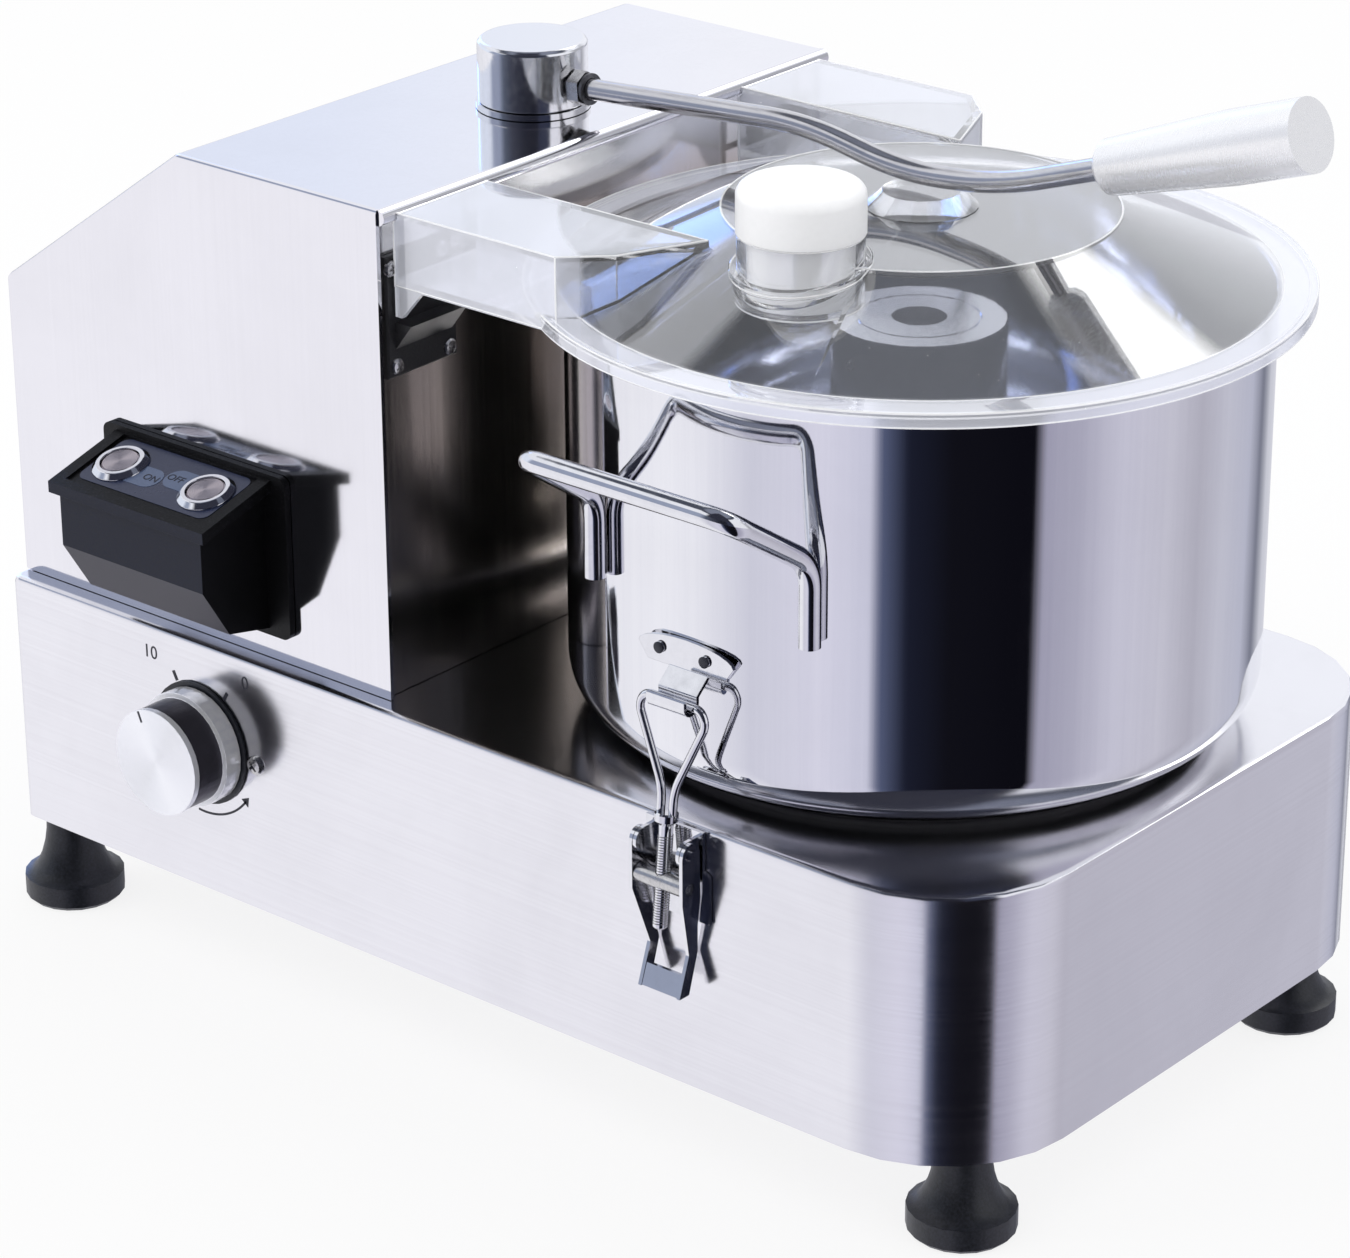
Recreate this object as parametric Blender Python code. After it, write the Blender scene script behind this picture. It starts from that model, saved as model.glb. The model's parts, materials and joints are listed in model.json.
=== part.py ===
"""Meat bowl cutter: a table-top machine with a stainless bowl, a clear lid and a clamping lever.

X runs from the rear wall to the bowl end, Y from the control side (minus) to the far side (plus),
and Z up from the table. Everything hangs on one empty, which puts the origin under the middle.
"""

import bmesh
import bpy
from math import atan, atan2, cos, hypot, pi, radians, sin, sqrt, tan
from mathutils import Vector

# Fits, in metres
gap = 0.0003
slack = 0.0006
overrun = 0.002
weld = 0.000001

# Roundness
bowl_steps = 48
large_steps = 32
small_steps = 20
pin_steps = 12
corner_steps = 6
rod_resolution = 2
sharp_angle = 35
round_profile_share = 0.5

# Feet
foot_height = 0.040
foot_radius = 0.022
foot_neck = 0.011
foot_rim = 0.011
foot_edge = 0.002
foot_stud = 0.004
foot_stud_length = 0.012
rear_foot_x = 0.013
rear_foot_side = 0.015
front_foot_inset = 0.030
front_foot_side = 0.036

# Base
base_length = 0.521
base_width = 0.298
base_height = 0.115
base_corner = 0.060
base_rear_corner = 0.005
base_edge = 0.003
base_sheet = 0.0018
base_plate_sheet = 0.002

# Housing
housing_room = 0.0197
housing_inset = 0.009
housing_height = 0.210
housing_rear_height = 0.1345
housing_flat = 0.111
housing_sheet = 0.002
housing_edge = 0.002
lip_radius = 0.0035
panel_inset = 0.003
panel_sheet = 0.002

# Bowl
bowl_side_margin = 0.009
bowl_end_margin = 0.0033
bowl_sheet = 0.002
bowl_rounding = 0.022
bowl_height = 0.176
bowl_tube_radius = 0.0225
bowl_tube_height = 0.112
seat_height = 0.0032
seat_width = 0.027
seat_margin = 0.028

# Bowl handles
handle_rod = 0.0045
handle_half = 0.050
handle_leg_half = 0.053
handle_out = 0.039
handle_leg_drop = 0.0635
handle_leg_length = 0.034
handle_below_rim = 0.033
handle_bend = 0.010

# Lid
lid_overhang = 0.015
lid_wall = 0.003
lid_skirt = 0.006
lid_flange = 0.013
lid_rise = 0.0273
lid_cone = 0.0635
boss_radius = 0.0225
boss_height = 0.006
boss_top = 0.0155

# Lid ears
ear_clearance = 0.0013
ear_width = 0.052
ear_side_margin = 0.008
ear_bend_inset = 0.0663
ear_shoulder = 0.017
ear_shoulder_in = 0.016
ear_tip_inset = 0.0991
ear_drop = 0.0022
ear_floor = 0.003
ear_tab = 0.0155
ear_tab_width = 0.0035
ear_gusset = 0.0155

# Lid sockets on the front panel
socket_width = 0.040
socket_overlap = 0.0035
socket_low = 0.021
socket_high = 0.072
socket_plate = 0.003
wedge_inner_margin = 0.003
wedge_outer_margin = 0.0045
wedge_reach = 0.0085
wedge_low = 0.0605
wedge_high = 0.049

# Feed tube and pusher
tube_x = 0.0033
tube_inset = 0.061
tube_radius = 0.0245
tube_wall = 0.003
tube_above = 0.0107
tube_length = 0.029
collar_radius = 0.0275
collar_height = 0.0035
collar_tilt = 8
collar_drop = 0.0028
pusher_radius = 0.025
pusher_head = 0.0195
pusher_edge = 0.005
pusher_clearance = 0.0008
pusher_stem = 0.027

# Lever
lever_inset = 0.0425
bush_radius = 0.013
bush_flange = 0.024
bush_flange_height = 0.0025
bush_length = 0.022
post_radius = 0.008
post_collar = 0.012
post_collar_height = 0.005
cap_radius = 0.023
cap_height = 0.026
cap_edge = 0.0015
cap_post_depth = 0.016
rod_radius = 0.0045
rod_height = 0.0086
rod_depth = 0.010
nut_flats = 0.013
nut_length = 0.006
lever_step_shares = (0.648, 0.247, 0.225, 0.241)
lever_crest = 0.0149
lever_clearance = 0.0007
lever_end_rises = (0.0044, 0.0169)
lever_bend = 0.020
grip_length = 0.095
grip_depth = 0.020
grip_start = 0.0110
grip_end = 0.0142
grip_taper = 0.060
grip_nose = 0.003

# Catch plates on the bowl
catch_sheet = 0.0016
catch_half = 0.0235
catch_height = 0.0125
catch_crown = 0.006
catch_tongue_half = 0.0095
catch_low_share = 0.8
catch_shift = -0.0015
catch_rivet_half = 0.0112
catch_rivet_shift = -0.003
catch_rivet = 0.0022
catch_rivet_head = 0.0012
hook_out = 0.011
hook_height = 0.0475
hook_room_in = 0.0006
hook_room_out = 0.0017
hook_lip = 0.0024
hook_slope = 0.006

# Toggle latches on the base
latch_out = 0.008
latch_below_top = 0.0086
bracket_outer = 0.0116
bracket_sheet = 0.0016
bracket_ear = 0.0052
bracket_top = 0.0076
bracket_half = 0.0143
bracket_neck = 0.009
bracket_wing = 0.0175
bracket_low = 0.031
bracket_ear_low = 0.016
latch_pin = 0.0022
pin_head = 0.001
trunnion_drop = 0.014
trunnion_out_step = 0.0009
trunnion_radius = 0.004
cheek_outer = 0.0135
cheek_sheet = 0.0016
cheek_head = 0.0052
cheek_taper_start = 0.020
cheek_taper = 0.0029
cheek_back = 0.0056
cheek_back_low = 0.0325
cheek_bend = 0.045
cheek_bend_front = -0.002
cheek_bend_back = 0.0073
cheek_tip = 0.062
cheek_tip_front = 0.0038
cheek_tip_back = 0.0020
web_height = 0.009
web_sheet = 0.0014
wire_radius = 0.00175
wire_half = 0.0166
wire_shoulder = 0.0055
wire_waist = 0.0355
wire_foot = 0.0485
wire_foot_half = 0.0030
wire_bend = 0.006
shank_radius = 0.0029
shank_below = 0.020

# Control box
box_shift = 0.0028
box_half = 0.0412
box_low = 0.012
box_height = 0.072
box_out = 0.040
box_slope = 0.0107
box_rim_drop = 0.0018
box_face = 0.029
box_chamfer_out = 0.026
box_chamfer = 0.0225
box_wall = 0.0025
box_lip = 0.004
box_lip_out = 0.0025
box_lip_height = 0.005
box_flange_half = 0.053
box_flange = 0.003
box_corner = 0.004
tray_depth = 0.001
tray_margin = 0.004
cable_hole = 0.012
button_pitch = 0.050
button_out = 0.0197
bezel_radius = 0.0125
bezel_rim = 0.0103
bezel_barrel = 0.0108
bezel_foot = 0.0008
bezel_height = 0.0028
bezel_wall = 0.0023
bezel_depth = 0.014
button_recess = 0.0003
button_depth = 0.010
button_edge = 0.0006
block_depth = 0.018

# Speed knob
knob_x = 0.1145
knob_height = 0.069
knob_face = 0.0235
knob_grip = 0.0232
knob_ring = 0.0255
knob_ring_height = 0.0083
knob_length = 0.025
knob_clear = 0.0018
seal_radius = 0.0275
seal_height = 0.0012
knob_cap = 0.003
knob_bore_depth = 0.015
pot_radius = 0.012
pot_depth = 0.016
pot_bush = 0.0045
pot_shaft = 0.003

# Knives and spindle
spindle_radius = 0.0085
spindle_drop = 0.105
spindle_top = 0.0185
hub_radius = 0.0347
hub_spigot = 0.030
hub_cavity = 0.0265
hub_top = 0.0165
hub_mouth = 0.011
hub_mouth_depth = 0.017
hub_cover = 0.006
hub_groove = 0.024
hub_groove_width = 0.001
knife_sheet = 0.0025
knife_ring = 0.0385
knife_room = 0.011
knife_width = 0.026
knife_lift = 0.005
knife_spacing = 0.012
knife_root = 0.0035
knife_sweep = 75
knife_curve_share = 1.4
knife_taper_share = 0.7

# Bearings
bearing_radius = 0.0175
bearing_height = 0.010
bearing_body = 0.024
bearing_flange = 0.045
bearing_flange_height = 0.004
bearing_length = 0.070
bearing_neck = 0.0135
bearing_neck_height = 0.090
bearing_step = 0.002

# Drive
pulley_radius = 0.045
motor_pulley_radius = 0.0225
pulley_height = 0.018
pulley_flange = 0.003
pulley_lift = 0.012
belt_thickness = 0.003
motor_shift = 0.016
motor_room = 0.049
motor_height = 0.135
motor_edge = 0.006
motor_shaft = 0.007
motor_shaft_depth = 0.025
motor_window = 0.035
bracket_plate_ends = 0.012
bracket_plate_sides = 0.025
bracket_plate = 0.004

# Electrics
board_length = 0.100
board_tall = 0.075
board_sheet = 0.0016
board_stand = 0.012
board_shift = 0.009
board_lift = 0.030
board_post = 0.003
board_post_inset = 0.008
heatsink_out = 0.018
heatsink_inset = 0.015
gland_radius = 0.012
gland_length = 0.018
gland_thread = 0.009
gland_bore = 0.004
gland_nut = 0.005
gland_y = 0.085
gland_lift = 0.045

# Places that follow from the sizes
base_bottom = foot_height
base_top = base_bottom + base_height
half_width = base_width / 2
housing_half = half_width - housing_inset
housing_bottom = base_top + gap
housing_top = base_top + housing_height
bowl_radius = half_width - bowl_side_margin
bowl_x = base_length - bowl_end_margin - bowl_radius
housing_depth = bowl_x - bowl_radius - housing_room
housing_slope = housing_depth - housing_flat
panel_x = housing_depth - panel_inset
seat_outer = bowl_radius - seat_margin
seat_inner = seat_outer - seat_width
bowl_bottom = base_top + seat_height
bowl_rim = bowl_bottom + bowl_height
lid_radius = bowl_radius + lid_overhang
lid_disc = lid_radius - lid_flange - lid_cone
lid_bottom = bowl_rim + gap
lid_top = lid_bottom + lid_wall
disc_top = lid_top + lid_rise
disc_bottom = disc_top - lid_wall
ear_end = housing_depth + ear_clearance
ear_outer = bowl_radius - ear_side_margin
ear_inner = ear_outer - ear_width
ear_bend = bowl_radius - ear_bend_inset
ear_tip = bowl_radius - ear_tip_inset
socket_outer = ear_outer + socket_overlap
socket_inner = socket_outer - socket_width
wedge_inner = socket_inner + wedge_inner_margin
wedge_outer = socket_outer - wedge_outer_margin
tube_y = bowl_radius - tube_inset
lever_x = housing_depth - lever_inset
lever_steps_x = [share * (bowl_x - lever_x) for share in lever_step_shares]
bush_top = housing_top + gap + bush_flange_height
cap_bottom = bush_top + gap
boss_level = disc_top + gap + boss_height
rod_level = cap_bottom + rod_height
lever_high = boss_level + lever_crest
lever_low = boss_level + lever_clearance + rod_radius
lever_steps_z = (lever_high - rod_level, lever_low - lever_high, *lever_end_rises)
rod_angle = atan2(lever_steps_z[0], lever_steps_x[0])
grip_angle = atan2(lever_steps_z[-1], lever_steps_x[-1])
rod_start = (lever_x + cap_radius - rod_depth, rod_level)
grip_x = rod_start[0] + sum(lever_steps_x)
grip_z = rod_start[1] + sum(lever_steps_z)
reach_front = grip_x + grip_length * cos(grip_angle) + grip_end * sin(grip_angle)
centre_x = (reach_front - gland_length) / 2
hook_z = bowl_bottom + hook_height
pivot_z = base_top - latch_below_top
pivot_out = half_width + latch_out
trunnion_z = pivot_z - trunnion_drop
trunnion_out = pivot_out + trunnion_out_step
box_middle = housing_depth / 2 + box_shift
box_bottom = housing_bottom + box_low
box_top = box_bottom + box_height
box_tilt = atan(box_slope / box_out)
pulley_z = base_bottom + pulley_lift
bearing_top = base_top - base_sheet - gap
bearing_bottom = bearing_top - bearing_length
bearing_bore = bearing_radius + gap
knife_reach = bowl_radius - bowl_sheet - knife_room
knife_z = bowl_bottom + bowl_sheet + knife_lift
upper_knife_z = knife_z + knife_sheet + 2 * gap + knife_spacing
hub_shoulder = upper_knife_z + knife_sheet + gap
hub_z = bowl_rim - hub_top
motor_x = housing_depth / 2 + motor_shift
motor_radius = housing_depth / 2 - motor_room
motor_z = housing_bottom + bracket_plate + gap
bracket_half_x = motor_radius + bracket_plate_ends
bracket_half_y = motor_radius + bracket_plate_sides
board_x = (housing_depth - board_length) / 2 - board_shift


# Outlines


def arc(centre, radius, start, end, steps):
    """Points along an arc, with its angles in degrees."""
    turns = [radians(start + (end - start) * i / steps) for i in range(steps + 1)]
    return [(centre[0] + radius * cos(a), centre[1] + radius * sin(a)) for a in turns]


def rounded(corners):
    """An outline from corners given as (x, y, radius)."""
    points = []
    for i, (x, y, radius) in enumerate(corners):
        if not radius:
            points.append((x, y))
            continue
        here = Vector((x, y))
        before = (Vector(corners[i - 1][:2]) - here).normalized()
        after = (Vector(corners[(i + 1) % len(corners)][:2]) - here).normalized()
        half = before.angle(after) / 2
        middle = here + (before + after).normalized() * (radius / sin(half))
        first = here + before * (radius / tan(half)) - middle
        last = here + after * (radius / tan(half)) - middle
        start = atan2(first.y, first.x)
        sweep = (atan2(last.y, last.x) - start + pi) % (2 * pi) - pi
        for step in range(corner_steps + 1):
            angle = start + sweep * step / corner_steps
            points.append((middle.x + radius * cos(angle), middle.y + radius * sin(angle)))
    return points


def shrunk(corners, distance):
    """An anticlockwise outline moved inwards by a distance."""
    points = []
    for i, corner in enumerate(corners):
        here = Vector(corner)
        before = (here - Vector(corners[i - 1])).normalized()
        after = (Vector(corners[(i + 1) % len(corners)]) - here).normalized()
        normal = Vector((-before.y - after.y, before.x + after.x))
        points.append(tuple(here + normal * distance / (1 + before.dot(after))))
    return points


def strip(path, thickness):
    """The outline of a strip of sheet that is bent along a path."""
    sides = ([], [])
    for i, point in enumerate(path):
        here = Vector(point)
        ways = [(Vector(path[j + 1]) - Vector(path[j])).normalized()
                for j in (i - 1, i) if 0 <= j < len(path) - 1]
        along = sum(ways, Vector((0, 0))).normalized()
        stretch = thickness / 2 / max(along.dot(ways[0]), cos(radians(60)))
        across = Vector((-along.y, along.x)) * stretch
        sides[0].append((here + across)[:])
        sides[1].append((here - across)[:])
    return sides[0] + sides[1][::-1]


def bent(points, radius):
    """A path through the points with its corners rounded."""
    path = [Vector(points[0])]
    for before, corner, after in zip(points, points[1:], points[2:]):
        corner = Vector(corner)
        back = Vector(before) - corner
        on = Vector(after) - corner
        reach = min(radius, back.length / 2, on.length / 2)
        start = corner + back.normalized() * reach
        end = corner + on.normalized() * reach
        for step in range(corner_steps + 1):
            share = step / corner_steps
            path.append(start.lerp(corner, share).lerp(corner.lerp(end, share), share))
    path.append(Vector(points[-1]))
    return [tuple(point) for point in path]


# Shapes


def slab(outline, low, high, plane="xy"):
    """An outline in a plane, extruded across that plane from low to high."""
    across, up, through = {"xy": (0, 1, 2), "xz": (0, 2, 1), "yz": (1, 2, 0)}[plane]
    shape = bmesh.new()
    ring = []
    for u, v in outline:
        point = [0, 0, 0]
        point[across], point[up], point[through] = u, v, low
        ring.append(shape.verts.new(point))
    made = bmesh.ops.extrude_face_region(shape, geom=[shape.faces.new(ring)])["geom"]
    push = [0, 0, 0]
    push[through] = high - low
    moved = [item for item in made if isinstance(item, bmesh.types.BMVert)]
    bmesh.ops.translate(shape, verts=moved, vec=push)
    bmesh.ops.recalc_face_normals(shape, faces=shape.faces)
    return shape


def block(low, high):
    """A box between two corners."""
    return slab([(low[0], low[1]), (high[0], low[1]), (high[0], high[1]), (low[0], high[1])],
                low[2], high[2])


def turned(outline, steps):
    """A body of revolution about Z from (radius, height) points; it is solid where they meet the axis."""
    shape = bmesh.new()
    verts = [shape.verts.new((radius, 0, height)) for radius, height in outline]
    ends = verts[1:] if min(radius for radius, height in outline) == 0 else verts[1:] + verts[:1]
    for a, b in zip(verts, ends):
        shape.edges.new((a, b))
    bmesh.ops.spin(shape, geom=shape.verts[:] + shape.edges[:], cent=(0, 0, 0), axis=(0, 0, 1),
                   angle=2 * pi, steps=steps, use_merge=True)
    bmesh.ops.remove_doubles(shape, verts=shape.verts, dist=weld)
    bmesh.ops.recalc_face_normals(shape, faces=shape.faces)
    return shape


def disc(radius, low, high, steps):
    return turned([(0, high), (radius, high), (radius, low), (0, low)], steps)


def ring(inner, outer, low, high, steps):
    return turned([(inner, high), (outer, high), (outer, low), (inner, low)], steps)


def softened(shape, chosen, width, segments=2):
    """Rounds the edges whose middle the test picks."""
    edges = [e for e in shape.edges if chosen((e.verts[0].co + e.verts[1].co) / 2)]
    bmesh.ops.bevel(shape, geom=edges, offset=width, affect="EDGES", segments=segments,
                    profile=round_profile_share, material=-1)
    return shape


# Objects


def clear_scene():
    for thing in list(bpy.data.objects):
        bpy.data.objects.remove(thing, do_unlink=True)


def make_finishes():
    looks = {
        "mirror steel": ((0.78, 0.78, 0.80), 0.12, 1.0),
        "satin steel": ((0.72, 0.72, 0.74), 0.28, 1.0),
        "brushed steel": ((0.60, 0.61, 0.64), 0.35, 1.0),
        "aluminium": ((0.83, 0.83, 0.84), 0.30, 1.0),
        "clear plastic": ((0.90, 0.93, 0.96), 0.08, 0.0),
        "white plastic": ((0.90, 0.90, 0.90), 0.45, 0.0),
        "black plastic": ((0.02, 0.022, 0.032), 0.45, 0.0),
        "black rubber": ((0.015, 0.016, 0.020), 0.60, 0.0),
        "grey seal": ((0.12, 0.12, 0.13), 0.60, 0.0),
        "painted iron": ((0.10, 0.14, 0.20), 0.50, 0.0),
        "cast aluminium": ((0.62, 0.62, 0.63), 0.50, 1.0),
        "circuit board": ((0.03, 0.22, 0.10), 0.50, 0.0),
    }
    for name, (colour, roughness, metallic) in looks.items():
        finish = bpy.data.materials.new(name)
        finish.use_nodes = True
        shader = finish.node_tree.nodes["Principled BSDF"]
        shader.inputs["Base Color"].default_value = (*colour, 1)
        shader.inputs["Roughness"].default_value = roughness
        shader.inputs["Metallic"].default_value = metallic


def place(thing, finish, at, turn):
    bpy.context.collection.objects.link(thing)
    thing.parent = bpy.data.objects["machine"]
    thing.location = at
    thing.rotation_euler = turn
    thing.data.materials.append(bpy.data.materials[finish])
    return thing


def piece(name, shape, finish, at=(0, 0, 0), turn=(0, 0, 0)):
    mesh = bpy.data.meshes.new(name)
    shape.to_mesh(mesh)
    shape.free()
    mesh.shade_smooth()
    mesh.set_sharp_from_angle(angle=radians(sharp_angle))
    return place(bpy.data.objects.new(name, mesh), finish, at, turn)


def rod(name, path, radius, finish, at=(0, 0, 0)):
    curve = bpy.data.curves.new(name, "CURVE")
    curve.dimensions = "3D"
    curve.bevel_depth = radius
    curve.bevel_resolution = rod_resolution
    curve.use_fill_caps = True
    spline = curve.splines.new("POLY")
    spline.points.add(len(path) - 1)
    for point, place_of in zip(spline.points, path):
        point.co = (*place_of, 1)
    return place(bpy.data.objects.new(name, curve), finish, at, (0, 0, 0))


def combine(host, operation, shape, at=(0, 0, 0), turn=(0, 0, 0)):
    """Cuts a shape from its host, or joins it to it. The helper stays hidden."""
    name = f"{host.name}_{operation.lower()}_{len(host.modifiers) + 1}"
    helper = piece(name, shape, host.data.materials[0].name, at, turn)
    helper.hide_render = True
    helper.display_type = "WIRE"
    modifier = host.modifiers.new(name, "BOOLEAN")
    modifier.operation = operation
    modifier.object = helper


def cut(host, shape, at=(0, 0, 0), turn=(0, 0, 0)):
    combine(host, "DIFFERENCE", shape, at, turn)


def join(host, shape, at=(0, 0, 0), turn=(0, 0, 0)):
    combine(host, "UNION", shape, at, turn)


# Axes that round pieces are turned to
along_x = (0, pi / 2, 0)
towards_front = (pi / 2, 0, 0)


# Feet and base


def foot_places():
    front_x = base_length - front_foot_inset
    return {
        "foot_rear_near": (rear_foot_x, rear_foot_side - half_width),
        "foot_rear_far": (rear_foot_x, half_width - rear_foot_side),
        "foot_front_near": (front_x, front_foot_side - half_width),
        "foot_front_far": (front_x, half_width - front_foot_side),
    }


def make_feet():
    flank = []
    for step in range(corner_steps + 1):
        angle = pi / 2 * step / corner_steps
        flank.append((foot_neck + (foot_radius - foot_neck) * (1 - sin(angle)),
                      foot_rim + (foot_height - gap - foot_rim) * (1 - cos(angle))))
    outline = [(0, 0), (foot_radius - foot_edge, 0), (foot_radius, foot_edge), *flank,
               (foot_stud, foot_height - gap), (foot_stud, foot_height + foot_stud_length),
               (0, foot_height + foot_stud_length)]
    for name, (x, y) in foot_places().items():
        piece(name, turned(outline, small_steps), "black rubber", (x, y, 0))


def base_outline(inset):
    rear = max(base_rear_corner - inset, gap)
    front = base_corner - inset
    low, high = inset, base_length - inset
    side = half_width - inset
    return rounded([(low, -side, rear), (high, -side, front), (high, side, front),
                    (low, side, rear)])


def make_base():
    shape = slab(base_outline(0), base_bottom, base_top)
    softened(shape, lambda middle: middle.z > base_top - weld, base_edge)
    shell = piece("base_shell", shape, "satin steel")
    cut(shell, slab(base_outline(base_sheet), base_bottom - overrun, base_top - base_sheet))
    through = (base_top - base_sheet - overrun, base_top + overrun)
    cut(shell, disc(bearing_body + gap, *through, large_steps), (bowl_x, 0, 0))
    cut(shell, disc(motor_window, *through, large_steps), (motor_x, 0, 0))
    wall = (-base_sheet - overrun, overrun)
    cut(shell, disc(pot_bush + gap, *wall, pin_steps),
        (knob_x, -half_width, base_bottom + knob_height), towards_front)
    cut(shell, disc(gland_thread + gap, -overrun, base_sheet + overrun, small_steps),
        (0, gland_y, base_bottom + gland_lift), along_x)


def make_base_plate():
    plate = piece("base_plate", slab(base_outline(base_sheet + gap), base_bottom,
                                     base_bottom + base_plate_sheet), "satin steel")
    for x, y in foot_places().values():
        cut(plate, disc(foot_stud + gap, base_bottom - overrun,
                        base_bottom + base_plate_sheet + overrun, pin_steps), (x, y, 0))


# Housing


def housing_outline(inset, front, bottom):
    """The side view: rear wall, slope and flat top, drawn this far inside the real one."""
    rear_top = base_top + housing_rear_height
    tilt = atan2(housing_top - rear_top, housing_slope)
    knee_low = inset * tan((pi / 2 - tilt) / 2)
    knee_high = inset * tan(tilt / 2)
    return [(inset, bottom), (front, bottom), (front, housing_top - inset),
            (housing_slope + knee_high, housing_top - inset), (inset, rear_top - knee_low)]


def make_housing():
    shape = slab(housing_outline(0, housing_depth, housing_bottom),
                 -housing_half, housing_half, "xz")
    softened(shape, lambda middle: middle.z > housing_bottom + weld
             and middle.x < housing_depth - weld, housing_edge)
    shell = piece("housing_shell", shape, "satin steel")
    inner = slab(housing_outline(housing_sheet, housing_depth + overrun,
                                 housing_bottom - overrun),
                 -housing_half + housing_sheet, housing_half - housing_sheet, "xz")
    cut(shell, inner)
    join(shell, disc(lip_radius, -housing_half + housing_sheet / 2,
                     housing_half - housing_sheet / 2, small_steps),
         (housing_depth, 0, housing_top - lip_radius), towards_front)
    cut(shell, disc(bush_radius + gap, -housing_sheet - overrun, overrun, large_steps),
        (lever_x, 0, housing_top))
    cut(shell, disc(cable_hole, -housing_sheet - overrun, overrun, small_steps),
        (box_middle, -housing_half, box_bottom + box_height / 2), towards_front)


def make_front_panel():
    side = housing_half - housing_sheet - gap
    top = housing_top - 2 * lip_radius - gap
    piece("housing_front_panel", block((panel_x - panel_sheet, -side, housing_bottom),
                                       (panel_x, side, top)), "mirror steel")


# Control box


def box_surface(out):
    """Height of the sloping top this far out from the housing."""
    return box_top - box_rim_drop - out * tan(box_tilt)


def make_control_box():
    wall = -housing_half - gap
    side = [(wall, box_bottom + box_wall), (wall, box_surface(0) - box_lip_height / 2),
            (wall - box_out, box_surface(box_out) - box_lip_height / 2),
            (wall - box_out, box_surface(box_out) - box_face),
            (wall - box_chamfer_out, box_surface(box_out) - box_face - box_chamfer)]
    box = piece("control_box", slab(side, box_middle - box_half, box_middle + box_half, "yz"),
                "black plastic")
    plate = rounded([(box_middle - box_flange_half, box_bottom, box_corner),
                     (box_middle + box_flange_half, box_bottom, box_corner),
                     (box_middle + box_flange_half, box_top, box_corner),
                     (box_middle - box_flange_half, box_top, box_corner)])
    join(box, slab(plate, wall - box_flange, wall, "xz"))
    lip_out = box_out + box_lip_out
    lip = [(wall - box_flange / 2, box_surface(0)), (wall - lip_out, box_surface(lip_out)),
           (wall - lip_out, box_surface(lip_out) - box_lip_height),
           (wall - box_flange / 2, box_surface(0) - box_lip_height)]
    lip_half = box_half + box_lip
    join(box, slab(lip, box_middle - lip_half, box_middle + lip_half, "yz"))
    inner = [(wall + overrun, box_bottom + 2 * box_wall),
             (wall + overrun, box_surface(0) - box_lip_height),
             (wall - box_out + box_wall, box_surface(box_out) - box_lip_height),
             (wall - box_out + box_wall, box_surface(box_out) - box_face),
             (wall - box_chamfer_out + box_wall,
              box_surface(box_out) - box_face - box_chamfer + box_wall)]
    half = box_half - box_wall
    cut(box, slab(inner, box_middle - half, box_middle + half, "yz"))
    near = tray_margin
    far = box_out - tray_margin / 2
    tray = [(wall - near, box_surface(near) - tray_depth),
            (wall - far, box_surface(far) - tray_depth),
            (wall - far, box_surface(near) + overrun), (wall - near, box_surface(near) + overrun)]
    tray_half = box_half - tray_margin / 2
    cut(box, slab(tray, box_middle - tray_half, box_middle + tray_half, "yz"))
    for x in button_places():
        cut(box, disc(bezel_barrel + gap, -box_lip_height - overrun, bezel_height, small_steps),
            button_seat(x), (box_tilt, 0, 0))


def button_places():
    return (box_middle - button_pitch / 2, box_middle + button_pitch / 2)


def button_seat(x):
    return (x, -housing_half - gap - button_out, box_surface(button_out) - tray_depth)


def make_buttons():
    opening = bezel_barrel - bezel_wall
    bezel = [(opening, bezel_height), (bezel_rim, bezel_height),
             (bezel_radius, bezel_foot), (bezel_radius, gap), (bezel_barrel, gap),
             (bezel_barrel, -bezel_depth), (opening, -bezel_depth)]
    radius = opening - gap
    top = bezel_height - button_recess
    button = [(0, top), (radius - button_edge, top), (radius, top - button_edge),
              (radius, -button_depth), (0, -button_depth)]
    for side, x in zip(("start", "stop"), button_places()):
        seat = button_seat(x)
        turn = (box_tilt, 0, 0)
        piece(f"{side}_bezel", turned(bezel, large_steps), "satin steel", seat, turn)
        piece(f"{side}_button", turned(button, large_steps), "brushed steel", seat, turn)
        piece(f"{side}_contact_block", disc(bezel_barrel, -bezel_depth - gap - block_depth,
                                            -bezel_depth - gap, pin_steps),
              "black plastic", seat, turn)


# Speed knob


def make_speed_knob():
    at = (knob_x, -half_width, base_bottom + knob_height)
    far = knob_clear + knob_length
    shelf = knob_clear + knob_ring_height
    bore = pot_shaft + gap
    outline = [(0, far), (knob_face, far), (knob_face, far - knob_cap),
               (knob_grip, far - knob_cap), (knob_grip, shelf), (knob_ring, shelf),
               (knob_ring, knob_clear), (pot_bush + slack, knob_clear),
               (pot_bush + slack, shelf), (bore, shelf), (bore, knob_clear + knob_bore_depth),
               (0, knob_clear + knob_bore_depth)]
    piece("speed_knob", turned(outline, large_steps), "aluminium", at, towards_front)
    piece("knob_seal", ring(pot_bush + slack, seal_radius, gap, seal_height, large_steps),
          "black rubber", at, towards_front)
    inside = -base_sheet - gap
    bush_end = knob_clear + knob_ring_height - slack
    pot = [(bore, bush_end), (pot_bush, bush_end), (pot_bush, inside), (pot_radius, inside),
           (pot_radius, inside - pot_depth), (bore, inside - pot_depth)]
    piece("potentiometer", turned(pot, small_steps), "black plastic", at, towards_front)
    piece("potentiometer_shaft", disc(pot_shaft, inside - pot_depth / 2,
                                      knob_clear + knob_bore_depth - gap, pin_steps),
          "brushed steel", at, towards_front)


# Bowl and its fittings


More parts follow.
